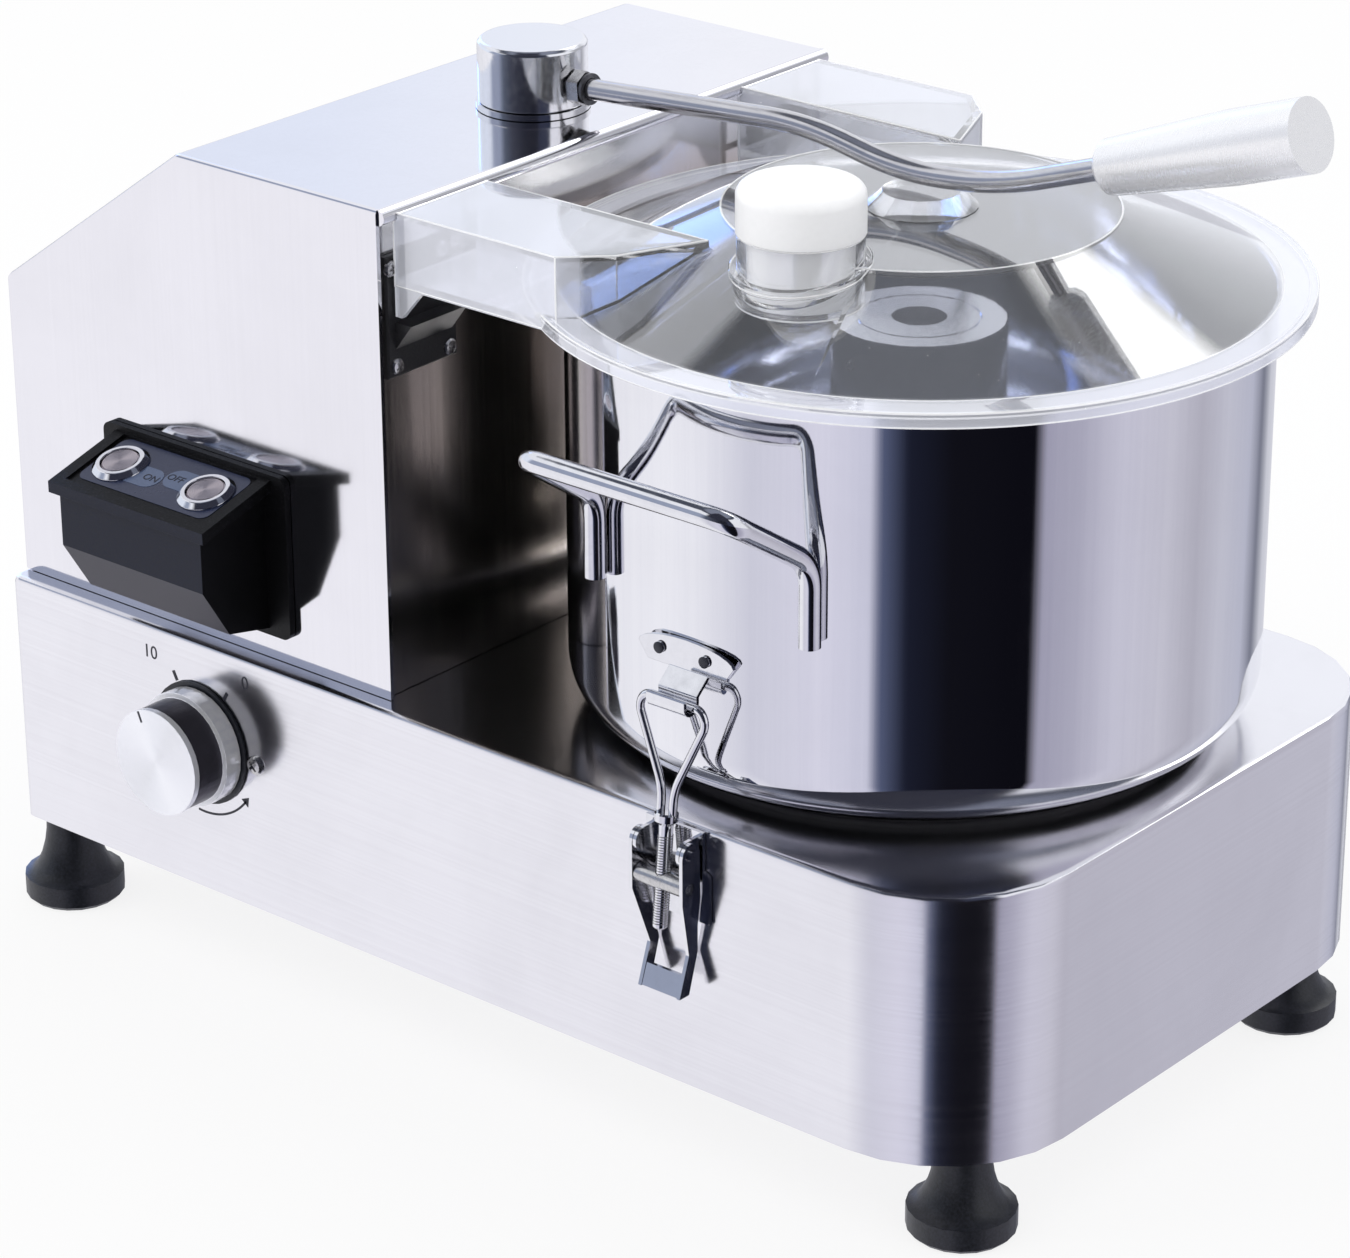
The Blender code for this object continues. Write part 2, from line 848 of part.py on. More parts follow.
def make_bowl():
    inner_tube = bowl_tube_radius - bowl_sheet
    corner = (bowl_radius - bowl_rounding, bowl_rounding)
    outer = arc(corner, bowl_rounding, -90, 0, corner_steps)
    inner = arc(corner, bowl_rounding - bowl_sheet, 0, -90, corner_steps)
    outline = [(inner_tube, 0), *outer, (bowl_radius, bowl_height),
               (bowl_radius - bowl_sheet, bowl_height), *inner,
               (bowl_tube_radius, bowl_sheet), (bowl_tube_radius, bowl_tube_height),
               (inner_tube, bowl_tube_height)]
    piece("bowl", turned(outline, bowl_steps), "mirror steel", (bowl_x, 0, bowl_bottom))
    piece("bowl_seat_ring", ring(seat_inner, seat_outer, base_top + gap, bowl_bottom - gap,
                                 large_steps), "grey seal", (bowl_x, 0, 0))


def make_bowl_handles():
    leg = bowl_radius + handle_rod + gap
    leg_y = sqrt(leg ** 2 - handle_leg_half ** 2)
    bar_z = bowl_rim - handle_below_rim
    foot_z = bar_z - handle_leg_drop
    for side, way in (("near", -1), ("far", 1)):
        half = [(handle_leg_half, way * leg_y, foot_z),
                (handle_leg_half, way * leg_y, foot_z + handle_leg_length),
                (handle_half, way * (bowl_radius + handle_out), bar_z)]
        points = half + [(-x, y, z) for x, y, z in half[::-1]]
        rod(f"bowl_handle_{side}", bent(points, handle_bend), handle_rod, "mirror steel",
            (bowl_x, 0, 0))


def hook_profile(way):
    """The hook of a catch plate in side view: down the bowl, out, round under the bar and up."""
    inside = hook_out - wire_radius - hook_room_in
    outside = hook_out + wire_radius + hook_room_out
    bend = (outside - inside + catch_sheet) / 2
    middle = (inside + outside) / 2
    low = hook_z - wire_radius - gap + bend - catch_sheet / 2
    wall = gap + catch_sheet / 2
    turn = low + hook_lip
    line = [(wall, turn + hook_slope + catch_sheet), (wall, turn + hook_slope),
            (middle - bend, turn), *arc((middle, low), bend, 180, 360, 2 * corner_steps),
            (middle + bend, turn)]
    return [(way * (bowl_radius + out), z) for out, z in strip(line, catch_sheet)]


def make_catch_plates():
    inside = hook_out - wire_radius - hook_room_in
    outside = hook_out + wire_radius + hook_room_out
    low = hook_z - gap - wire_radius + (outside - inside) / 2 + hook_lip + hook_slope
    for side, way in (("near", -1), ("far", 1)):
        crown = [(x, low + catch_height + catch_crown * (y / catch_half - 1))
                 for x, y in arc((0, 0), catch_half, 0, 180, 2 * corner_steps)]
        low_half = catch_half * catch_low_share
        outline = [(-low_half, low), (low_half, low), *crown]
        faces = sorted((way * (bowl_radius + gap), way * (bowl_radius + gap + catch_sheet)))
        plate = piece(f"catch_plate_{side}", slab(outline, *faces, "xz"), "mirror steel",
                      (bowl_x + catch_shift, 0, 0))
        join(plate, slab(hook_profile(way), -catch_tongue_half, catch_tongue_half, "yz"),
             (bowl_x, 0, 0))
        heads = (bowl_radius + gap + catch_sheet / 2,
                 bowl_radius + gap + catch_sheet + catch_rivet_head)
        for x in (-catch_rivet_half, catch_rivet_half):
            join(plate, disc(catch_rivet, *heads, pin_steps),
                 (bowl_x + catch_rivet_shift + x, 0, low + catch_height / 2), (-way * pi / 2, 0, 0))


# Toggle latches


def latch_point(way, out, z):
    return (bowl_x, way * out, z)


def make_latch_bracket(side, way):
    back = half_width + gap
    faces = sorted((way * back, way * (back + bracket_sheet)))
    middle = pivot_z - bracket_neck
    plate = [(-bracket_wing, pivot_z - bracket_low), (bracket_wing, pivot_z - bracket_low),
             (bracket_wing, middle - bracket_sheet), (bracket_half, middle),
             (bracket_half, pivot_z + bracket_top), (-bracket_half, pivot_z + bracket_top),
             (-bracket_half, middle), (-bracket_wing, middle - bracket_sheet)]
    bracket = piece(f"latch_bracket_{side}", slab(plate, *faces, "xz"), "mirror steel",
                    (bowl_x, 0, 0))
    root = way * (back + bracket_sheet / 2)
    cheek = [(root, pivot_z - bracket_ear_low),
             *[(way * out, z) for out, z in
               arc((pivot_out, pivot_z), bracket_ear, -60, 90, corner_steps)],
             (root, pivot_z + bracket_ear)]
    inner = bracket_outer - bracket_sheet
    for low, high in ((-bracket_outer, -inner), (inner, bracket_outer)):
        join(bracket, slab(cheek, low, high, "yz"), (bowl_x, 0, 0))
    end = cheek_outer + pin_head
    for low, high in ((-end, -inner - gap), (inner + gap, end)):
        join(bracket, disc(latch_pin, low, high, pin_steps), latch_point(way, pivot_out, pivot_z),
             along_x)


def make_cheek(way, hand):
    """One side of the lever: it leans in to the base, narrows the lever and flares out at the tip."""
    side = [*arc((0, 0), cheek_head, 180, 0, corner_steps),
            (cheek_head, -cheek_taper_start), (cheek_bend_front, -cheek_bend),
            (cheek_tip_front, -cheek_tip), (-cheek_tip_back, -cheek_tip),
            (-cheek_bend_back, -cheek_bend), (-cheek_back, -cheek_back_low),
            (-cheek_back, -cheek_taper_start)]
    faces = sorted((hand * cheek_outer, hand * (cheek_outer - cheek_sheet)))
    shape = slab([(way * out, z) for out, z in side], *faces, "yz")
    for z in (-cheek_taper_start, -cheek_bend):
        everything = shape.verts[:] + shape.edges[:] + shape.faces[:]
        bmesh.ops.bisect_plane(shape, geom=everything, dist=weld, plane_co=(0, 0, z),
                               plane_no=(0, 0, 1))
    for vert in shape.verts:
        depth = min(-vert.co.z, cheek_bend) - cheek_taper_start
        vert.co.x -= hand * cheek_taper * max(depth, 0) / (cheek_bend - cheek_taper_start)
    return shape


def make_latch_lever(side, way):
    at = latch_point(way, pivot_out, pivot_z)
    lever = piece(f"latch_lever_{side}", make_cheek(way, -1), "mirror steel", at)
    share = 1 - web_height / (cheek_tip - cheek_bend)
    top = cheek_bend_front + (cheek_tip_front - cheek_bend_front) * share - gap
    top_z = -cheek_bend - (cheek_tip - cheek_bend) * share
    low = cheek_tip_front - gap
    low_z = -cheek_tip + gap
    web = [(way * top, top_z), (way * low, low_z), (way * (low - web_sheet), low_z),
           (way * (top - web_sheet), top_z)]
    half = cheek_outer - cheek_taper - cheek_sheet / 2
    join(lever, slab(web, -half, half, "yz"), at)
    join(lever, make_cheek(way, 1), at)
    for drop, step in ((0, 0), (trunnion_drop, trunnion_out_step)):
        cut(lever, disc(latch_pin + gap, -cheek_outer - overrun, cheek_outer + overrun, pin_steps),
            latch_point(way, pivot_out + step, pivot_z - drop), along_x)


def make_latch_loop(side, way):
    """The wire loop and its threaded shank, about the trunnion that carries it."""
    out = bowl_radius + hook_out - trunnion_out
    rise = hook_z - trunnion_z
    half = [(wire_foot_half, rise - wire_foot), (wire_foot_half, rise - wire_waist),
            (wire_half, rise - wire_shoulder), (wire_half - wire_shoulder / 2, rise)]
    points = half + [(-x, z) for x, z in half[::-1]]
    path = bent([(x, way * out * z / rise, z) for x, z in points], wire_bend)
    at = latch_point(way, trunnion_out, trunnion_z)
    wire = rod("wire", path, wire_radius, "mirror steel")
    loop = piece(f"latch_loop_{side}", baked(wire), "mirror steel", at)
    lean_angle = atan2(-way * out, rise)
    length = hypot(out, rise) * (1 - wire_foot / rise) + 2 * wire_radius
    shank = [(0, length), (wire_foot_half + wire_radius, length),
             (wire_foot_half + wire_radius, length - 2 * wire_radius),
             (shank_radius, length - 3 * wire_radius), (shank_radius, -shank_below),
             (0, -shank_below)]
    join(loop, turned(shank, pin_steps), at, (lean_angle, 0, 0))
    end = cheek_outer - gap
    shoulder = cheek_outer - cheek_sheet - gap
    bar = [(0, end), (latch_pin, end), (latch_pin, shoulder), (trunnion_radius, shoulder),
           (trunnion_radius, -shoulder), (latch_pin, -shoulder), (latch_pin, -end), (0, -end)]
    trunnion = piece(f"latch_trunnion_{side}", turned(bar, small_steps), "satin steel", at, along_x)
    cut(trunnion, disc(shank_radius + gap, -trunnion_radius - overrun,
                       trunnion_radius + overrun, pin_steps), at, (lean_angle, 0, 0))


def make_latches():
    for side, way in (("near", -1), ("far", 1)):
        make_latch_bracket(side, way)
        make_latch_lever(side, way)
        make_latch_loop(side, way)


# Lid


def ear_outline(inset, way):
    bend = bowl_x - ear_bend
    corners = [(ear_end, ear_inner), (bowl_x - ear_tip, ear_inner),
               (bend + ear_shoulder, ear_outer - ear_shoulder_in), (bend, ear_outer),
               (ear_end, ear_outer)]
    return [(x, way * y) for x, y in shrunk(corners, inset)]


def make_ear(way):
    """An ear as one hollow box that is open at the housing end, and clear of the bowl."""
    low = lid_bottom - ear_floor
    top = disc_top - ear_drop
    ear = piece("ear", slab(ear_outline(0, way), low, top), "clear plastic")
    hollow = [(ear_end - overrun if x < ear_end + 2 * lid_wall else x, y)
              for x, y in ear_outline(lid_wall, way)]
    cut(ear, slab(hollow, low + lid_wall, top - lid_wall))
    under = [(0, disc_bottom + lid_wall / 2), (lid_disc, disc_bottom + lid_wall / 2),
             (lid_radius - lid_flange, lid_bottom + lid_wall / 2),
             (lid_radius - lid_wall / 2, lid_bottom + lid_wall / 2),
             (lid_radius - lid_wall / 2, low - overrun), (0, low - overrun)]
    cut(ear, turned(under, bowl_steps), (bowl_x, 0, 0))
    return baked(ear)


def baked(host):
    """The finished shape of an object, which is then removed with its helpers."""
    bpy.context.view_layer.update()
    shape = bmesh.new()
    shape.from_mesh(host.evaluated_get(bpy.context.evaluated_depsgraph_get()).to_mesh())
    for modifier in host.modifiers:
        bpy.data.objects.remove(modifier.object)
    bpy.data.objects.remove(host)
    return shape


def make_lid():
    cone = lid_radius - lid_flange
    slope = atan2(lid_rise, cone - lid_disc)
    shift = lid_wall * tan(slope / 2)
    outline = [(0, disc_top), (lid_disc, disc_top), (cone, lid_top), (lid_radius, lid_top),
               (lid_radius, lid_top - lid_skirt), (lid_radius - lid_wall, lid_top - lid_skirt),
               (lid_radius - lid_wall, lid_bottom), (cone - shift, lid_bottom),
               (lid_disc - shift, disc_bottom), (0, disc_bottom)]
    lid = piece("lid", turned(outline, bowl_steps), "clear plastic", (bowl_x, 0, 0))
    for way in (-1, 1):
        join(lid, make_ear(way))
        tab = [(ear_end, lid_bottom + lid_wall), (ear_end, lid_bottom - ear_tab),
               (ear_end + ear_tab_width, lid_bottom - ear_tab),
               (ear_end + ear_gusset, lid_bottom - ear_floor / 2),
               (ear_end + ear_gusset, lid_bottom + lid_wall)]
        for side in (ear_inner + lid_wall / 2, ear_outer - lid_wall / 2):
            faces = sorted((way * (side - lid_wall / 2 + gap), way * (side + lid_wall / 2 - gap)))
            join(lid, slab(tab, *faces, "xz"))
    cut(lid, disc(lip_radius + slack, -half_width, half_width, small_steps),
        (housing_depth, 0, housing_top - lip_radius), towards_front)
    boss = [(0, disc_top + gap), (boss_radius, disc_top + gap),
            (boss_top, boss_level), (0, boss_level)]
    piece("lid_boss", turned(boss, 4 * corner_steps), "clear plastic", (bowl_x, 0, 0))
    at = (bowl_x + tube_x, -tube_y, disc_top + tube_above)
    inner = tube_radius - tube_wall
    cut(lid, disc(inner + tube_wall / 2, -2 * tube_length, 0, large_steps), at)
    join(lid, ring(inner, tube_radius, -tube_length, 0, large_steps), at)
    join(lid, ring(tube_radius - tube_wall / 2, collar_radius, -collar_height / 2,
                   collar_height / 2, large_steps),
         (at[0], at[1], disc_top - collar_drop), (radians(collar_tilt), 0, 0))


def make_lid_sockets():
    for side, way in (("near", -1), ("far", 1)):
        faces = sorted((way * socket_inner, way * socket_outer))
        front = panel_x + gap + socket_plate
        plate = block((panel_x + gap, faces[0], housing_top - socket_high),
                      (front, faces[1], housing_top - socket_low))
        socket = piece(f"lid_socket_{side}",
                       softened(plate, lambda middle: middle.x > front - weld,
                                socket_plate / 4, 1), "black plastic")
        start = front - socket_plate / 2
        wedge = [(start, housing_top - wedge_low - socket_plate / 2),
                 (front + wedge_reach, housing_top - wedge_high), (start, housing_top - wedge_high)]
        inner = sorted((way * wedge_inner, way * wedge_outer))
        join(socket, slab(wedge, *inner, "xz"))


def make_pusher():
    stem = tube_radius - tube_wall - pusher_clearance
    edge = (pusher_radius - pusher_edge, pusher_head - pusher_edge)
    outline = [(0, pusher_head), *arc(edge, pusher_edge, 90, 0, corner_steps),
               (pusher_radius, gap), (stem, gap), (stem, -pusher_stem), (0, -pusher_stem)]
    piece("pusher", turned(outline, large_steps), "white plastic",
          (bowl_x + tube_x, -tube_y, disc_top + tube_above))


# Lever


def make_lever():
    bore = post_radius + gap
    bush = [(bore, bush_top), (bush_flange, bush_top), (bush_flange, housing_top + gap),
            (bush_radius, housing_top + gap), (bush_radius, bush_top - bush_length),
            (bore, bush_top - bush_length)]
    piece("lever_bush", turned(bush, large_steps), "satin steel", (lever_x, 0, 0))
    axis = (lever_x, 0, cap_bottom)
    low = bush_top - bush_length - gap - cap_bottom
    post = [(0, cap_post_depth - gap), (post_radius, cap_post_depth - gap), (post_radius, low),
            (post_collar, low), (post_collar, low - post_collar_height),
            (0, low - post_collar_height)]
    piece("lever_post", turned(post, small_steps), "brushed steel", axis)
    cap = [(0, cap_height), (cap_radius - cap_edge, cap_height), (cap_radius, cap_height - cap_edge),
           (cap_radius, 0), (bore, 0), (bore, cap_post_depth), (0, cap_post_depth)]
    head = piece("lever_cap", turned(cap, large_steps), "mirror steel", axis)
    turn = (0, pi / 2 - rod_angle, 0)
    start = (rod_start[0], 0, rod_start[1])
    cut(head, disc(rod_radius + gap, -gap, rod_depth + overrun, small_steps), start, turn)
    corner = nut_flats / 2 / cos(pi / 6)
    hexagon = [(corner * cos(pi / 3 * i), corner * sin(pi / 3 * i)) for i in range(6)]
    along = rod_depth + corner * tan(abs(rod_angle)) + 2 * gap
    nut = piece("lever_nut", slab(hexagon, along, along + nut_length), "mirror steel", start, turn)
    cut(nut, disc(rod_radius + gap, along - overrun, along + nut_length + overrun, small_steps),
        start, turn)
    points = [rod_start]
    for step_x, step_z in zip(lever_steps_x, lever_steps_z):
        points.append((points[-1][0] + step_x, points[-1][1] + step_z))
    inside = grip_depth - gap
    points[-1] = (grip_x + inside * cos(grip_angle), grip_z + inside * sin(grip_angle))
    path = bent([(x - lever_x, 0, z - cap_bottom) for x, z in points], lever_bend)
    rod("lever_rod", path, rod_radius, "satin steel", axis)
    grip = [(rod_radius + gap, 0), (grip_start - grip_nose, 0), (grip_start, grip_nose),
            (grip_end, grip_taper), (grip_end, grip_length), (0, grip_length),
            (0, grip_depth), (rod_radius + gap, grip_depth)]
    piece("lever_grip", turned_open(grip, large_steps), "aluminium",
          (grip_x, 0, grip_z), (0, pi / 2 - grip_angle, 0))


def turned_open(outline, steps):
    """A turned body with a blind bore: the outline starts and ends at the bore's mouth."""
    first = next(i for i, (radius, height) in enumerate(outline) if radius == 0)
    return turned(outline[first + 1:] + outline[:first + 1], steps)


# Knives, spindle and drive


def knife_outline(way):
    """A sickle blade: it leaves the hub ring and sweeps back to its point."""
    lead = []
    trail = []
    root = hub_spigot + knife_root
    blade_steps = 2 * corner_steps
    for step in range(blade_steps + 1):
        share = step / blade_steps
        reach = root + (knife_reach - root) * share
        sweep = radians(way + knife_sweep * share ** knife_curve_share)
        width = knife_width * (1 - share) ** knife_taper_share / reach
        lead.append((reach * cos(sweep), reach * sin(sweep)))
        trail.append((reach * cos(sweep - width), reach * sin(sweep - width)))
    return lead + trail[-2::-1]


def make_knives():
    for name, z, way in (("knife_lower", knife_z, 0), ("knife_upper", upper_knife_z, 180)):
        knife = piece(name, ring(hub_spigot + gap, knife_ring, 0, knife_sheet, large_steps),
                      "mirror steel", (bowl_x, 0, z))
        join(knife, slab(knife_outline(way), 0, knife_sheet), (bowl_x, 0, z))
    piece("knife_spacer", ring(hub_spigot + gap, knife_ring, knife_z + knife_sheet + gap,
                               upper_knife_z - gap, large_steps), "satin steel", (bowl_x, 0, 0))
    bore = spindle_radius + gap
    roof = bowl_bottom + bowl_tube_height + hub_cover
    mouth = hub_z - hub_mouth_depth
    outline = [(hub_mouth, hub_z), (hub_groove, hub_z), (hub_groove, hub_z - hub_groove_width),
               (hub_groove + hub_groove_width, hub_z - hub_groove_width),
               (hub_groove + hub_groove_width, hub_z), (hub_radius, hub_z),
               (hub_radius, hub_shoulder), (hub_spigot, hub_shoulder),
               (hub_spigot, knife_z - knife_lift / 2), (hub_cavity, knife_z - knife_lift / 2),
               (hub_cavity, roof), (bore, roof), (bore, mouth), (hub_mouth, mouth)]
    piece("knife_hub", turned(outline, large_steps), "brushed steel", (bowl_x, 0, 0))


def make_spindle():
    low = base_top - spindle_drop
    piece("spindle", disc(spindle_radius, low, hub_z - spindle_top, small_steps),
          "brushed steel", (bowl_x, 0, 0))
    bore = spindle_radius + slack
    body = [(bore, base_top + bearing_neck_height), (bearing_neck, base_top + bearing_neck_height),
            (bearing_neck, base_top + bearing_step), (bearing_body, base_top + bearing_step),
            (bearing_body, bearing_top), (bearing_flange, bearing_top),
            (bearing_flange, bearing_top - bearing_flange_height),
            (bearing_body, bearing_top - bearing_flange_height),
            (bearing_body, bearing_bottom), (bearing_bore, bearing_bottom),
            (bearing_bore, bearing_top), (bore, bearing_top)]
    piece("bearing_housing", turned(body, large_steps), "cast aluminium", (bowl_x, 0, 0))
    for name, z in (("lower_bearing", bearing_bottom),
                    ("upper_bearing", bearing_top - bearing_height - gap)):
        piece(name, ring(spindle_radius + gap, bearing_radius, z, z + bearing_height,
                         large_steps), "mirror steel", (bowl_x, 0, 0))


def pulley_outline(radius, bore):
    groove = radius - belt_thickness
    return [(bore, 0), (bore, pulley_height), (radius, pulley_height),
            (radius, pulley_height - pulley_flange), (groove, pulley_height - pulley_flange),
            (groove, pulley_flange), (radius, pulley_flange), (radius, 0)]


def belt_outline(offset):
    """The belt's line round both pulleys, with its two straight runs tangent to them."""
    distance = bowl_x - motor_x
    tilt = atan2(pulley_radius - motor_pulley_radius, distance)
    tilt_degrees = tilt * 180 / pi
    large = pulley_radius - belt_thickness + offset
    small = motor_pulley_radius - belt_thickness + offset
    return (arc((bowl_x, 0), large, -90 - tilt_degrees, 90 + tilt_degrees, large_steps)
            + arc((motor_x, 0), small, 90 + tilt_degrees, 270 - tilt_degrees, small_steps))


def make_drive():
    piece("driven_pulley", turned(pulley_outline(pulley_radius, spindle_radius + gap),
                                  large_steps), "cast aluminium", (bowl_x, 0, pulley_z))
    piece("motor_pulley", turned(pulley_outline(motor_pulley_radius, motor_shaft + gap),
                                 large_steps), "cast aluminium", (motor_x, 0, pulley_z))
    low = pulley_z + pulley_flange + slack
    high = pulley_z + pulley_height - pulley_flange - slack
    belt = piece("drive_belt", slab(belt_outline(belt_thickness), low, high), "black rubber")
    cut(belt, slab(belt_outline(slack), low - overrun, high + overrun))
    shaft_low = pulley_z - gap
    piece("motor_shaft", disc(motor_shaft, shaft_low, motor_z + motor_shaft_depth - gap,
                              small_steps), "brushed steel", (motor_x, 0, 0))
    bore = motor_shaft + slack
    body = [(0, motor_height), (motor_radius - motor_edge, motor_height),
            (motor_radius, motor_height - motor_edge), (motor_radius, motor_edge),
            (motor_radius - motor_edge, 0), (bore, 0), (bore, motor_shaft_depth),
            (0, motor_shaft_depth)]
    piece("motor", turned(body, large_steps), "painted iron", (motor_x, 0, motor_z))
    plate = piece("motor_bracket",
                  block((motor_x - bracket_half_x, -bracket_half_y, housing_bottom),
                        (motor_x + bracket_half_x, bracket_half_y,
                         housing_bottom + bracket_plate)), "satin steel")
    cut(plate, disc(motor_shaft + slack, housing_bottom - overrun,
                    housing_bottom + bracket_plate + overrun, small_steps), (motor_x, 0, 0))


# Electrics


def make_electrics():
    wall = housing_half - housing_sheet - gap
    back = wall - board_stand
    low = housing_bottom + board_lift
    board = piece("control_board", block((board_x, back - board_sheet, low),
                                         (board_x + board_length, back, low + board_tall)),
                  "circuit board")
    for x in (board_x + board_post_inset, board_x + board_length - board_post_inset):
        for z in (low + board_post_inset, low + board_tall - board_post_inset):
            join(board, disc(board_post, -board_stand, board_sheet / 2, pin_steps),
                 (x, back, z), towards_front)
    join(board, block((board_x + heatsink_inset, back - board_sheet - heatsink_out,
                       low + heatsink_inset),
                      (board_x + board_length / 2, back - board_sheet / 2,
                       low + board_tall - heatsink_inset)))
    inside = base_sheet + gap
    outline = [(gland_bore, -gland_length), (gland_radius - gland_nut / 2, -gland_length),
               (gland_radius, -gland_length / 2), (gland_radius, -gap), (gland_thread, -gap),
               (gland_thread, inside), (gland_radius, inside), (gland_radius, inside + gland_nut),
               (gland_bore, inside + gland_nut)]
    piece("cable_gland", turned(outline, small_steps), "black plastic",
          (0, gland_y, base_bottom + gland_lift), along_x)


def main():
    clear_scene()
    make_finishes()
    machine = bpy.data.objects.new("machine", None)
    bpy.context.collection.objects.link(machine)
    machine.location = (-centre_x, 0, 0)
    for make in (make_feet, make_base, make_base_plate, make_housing, make_front_panel,
                 make_control_box, make_buttons, make_speed_knob, make_bowl, make_bowl_handles,
                 make_catch_plates, make_latches, make_lid, make_lid_sockets, make_pusher,
                 make_lever, make_knives, make_spindle, make_drive, make_electrics):
        make()


main()
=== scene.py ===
import json
import math

import bmesh
import bpy
from mathutils import Euler, Matrix, Vector


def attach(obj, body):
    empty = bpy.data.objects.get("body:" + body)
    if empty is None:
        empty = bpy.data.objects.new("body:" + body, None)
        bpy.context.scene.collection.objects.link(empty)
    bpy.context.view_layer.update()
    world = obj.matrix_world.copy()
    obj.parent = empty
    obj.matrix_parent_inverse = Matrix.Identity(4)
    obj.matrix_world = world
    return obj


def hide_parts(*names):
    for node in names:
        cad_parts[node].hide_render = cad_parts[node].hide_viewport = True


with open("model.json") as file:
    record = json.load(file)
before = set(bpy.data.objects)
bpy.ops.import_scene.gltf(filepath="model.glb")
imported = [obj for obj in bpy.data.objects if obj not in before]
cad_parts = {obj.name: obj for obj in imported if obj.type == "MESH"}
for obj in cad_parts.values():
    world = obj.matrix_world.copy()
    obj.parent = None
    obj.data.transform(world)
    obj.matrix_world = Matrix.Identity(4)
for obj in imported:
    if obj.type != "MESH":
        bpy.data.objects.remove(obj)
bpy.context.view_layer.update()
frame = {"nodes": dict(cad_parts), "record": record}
nodes = frame["nodes"]
bowlX = 0.107649  # the common axis of bowl, lid and knives
flush = 0.00001  # vertices nearer than this are one
weld = 0.000002  # the same for fine turned and bent shapes
evenAngle = math.radians(0.5)  # faces that differ by less are one face
print("frame loaded:", len(nodes), "nodes")


# Shader helpers

def addNode(tree, kind, inputs=None, **settings):
    node = tree.nodes.new(kind)
    for key, value in settings.items():
        setattr(node, key, value)
    for key, value in (inputs or {}).items():
        if isinstance(value, bpy.types.NodeSocket):
            tree.links.new(value, node.inputs[key])
        else:
            node.inputs[key].default_value = value
    return node


def coordinates(tree, scale=(1, 1, 1), centre=(0, 0, 0), turn=(0, 0, 0)):
    source = addNode(tree, "ShaderNodeTexCoord").outputs["Object"]
    moved = addNode(tree, "ShaderNodeVectorMath", {0: source, 1: centre}, operation="SUBTRACT")
    return addNode(tree, "ShaderNodeMapping", {"Vector": moved.outputs[0], "Rotation": turn,
                                               "Scale": scale}).outputs["Vector"]


def noise(tree, vector, scale, detail=4, roughness=0.6, distortion=0):
    return addNode(tree, "ShaderNodeTexNoise",
                   {"Vector": vector, "Scale": scale, "Detail": detail, "Roughness": roughness,
                    "Distortion": distortion}).outputs["Fac"]


def rescale(tree, value, low, high, toLow=0.0, toHigh=1.0):
    return addNode(tree, "ShaderNodeMapRange",
                   {"Value": value, "From Min": low, "From Max": high,
                    "To Min": toLow, "To Max": toHigh}).outputs["Result"]


def maths(tree, operation, *values):
    return addNode(tree, "ShaderNodeMath", dict(enumerate(values)),
                   operation=operation).outputs["Value"]


def blendColour(tree, factor, first, second):
    return addNode(tree, "ShaderNodeMix", {0: factor, 6: first, 7: second},
                   data_type="RGBA").outputs[2]


def ramp(tree, factor, stops, interpolation="LINEAR"):
    node = addNode(tree, "ShaderNodeValToRGB", {"Fac": factor})
    band = node.color_ramp
    band.interpolation = interpolation
    while len(band.elements) > 1:
        band.elements.remove(band.elements[-1])
    band.elements[0].position, band.elements[0].color = stops[0][0], (*stops[0][1], 1)
    for place, colour in stops[1:]:
        band.elements.new(place).color = (*colour, 1)
    return node.outputs["Color"]


def rgb(colour):
    return (*colour, 1)


def newMaterial(name):
    material = bpy.data.materials.new(name)
    material.use_nodes = True
    return material, material.node_tree, material.node_tree.nodes["Principled BSDF"]


def bumpFrom(tree, height, strength, distance, before=None):
    inputs = {"Height": height, "Strength": strength, "Distance": distance}
    if before is not None:
        inputs["Normal"] = before
    return addNode(tree, "ShaderNodeBump", inputs).outputs["Normal"]


# Metals: a tone, a grain that runs one way, slow waves in the sheet, and handling marks

metalLook = {"metallic": 1, "markScale": 14, "markRough": 0.05, "markTone": (0.55, 0.54, 0.56),
             "markSpan": (0.45, 0.8), "toneSpan": (0.3, 0.7), "roughSpan": (0.25, 0.75),
             "insideShadeSpan": (0.1, 0.3), "grainDepth": 0.0002, "waveDepth": 0.002}


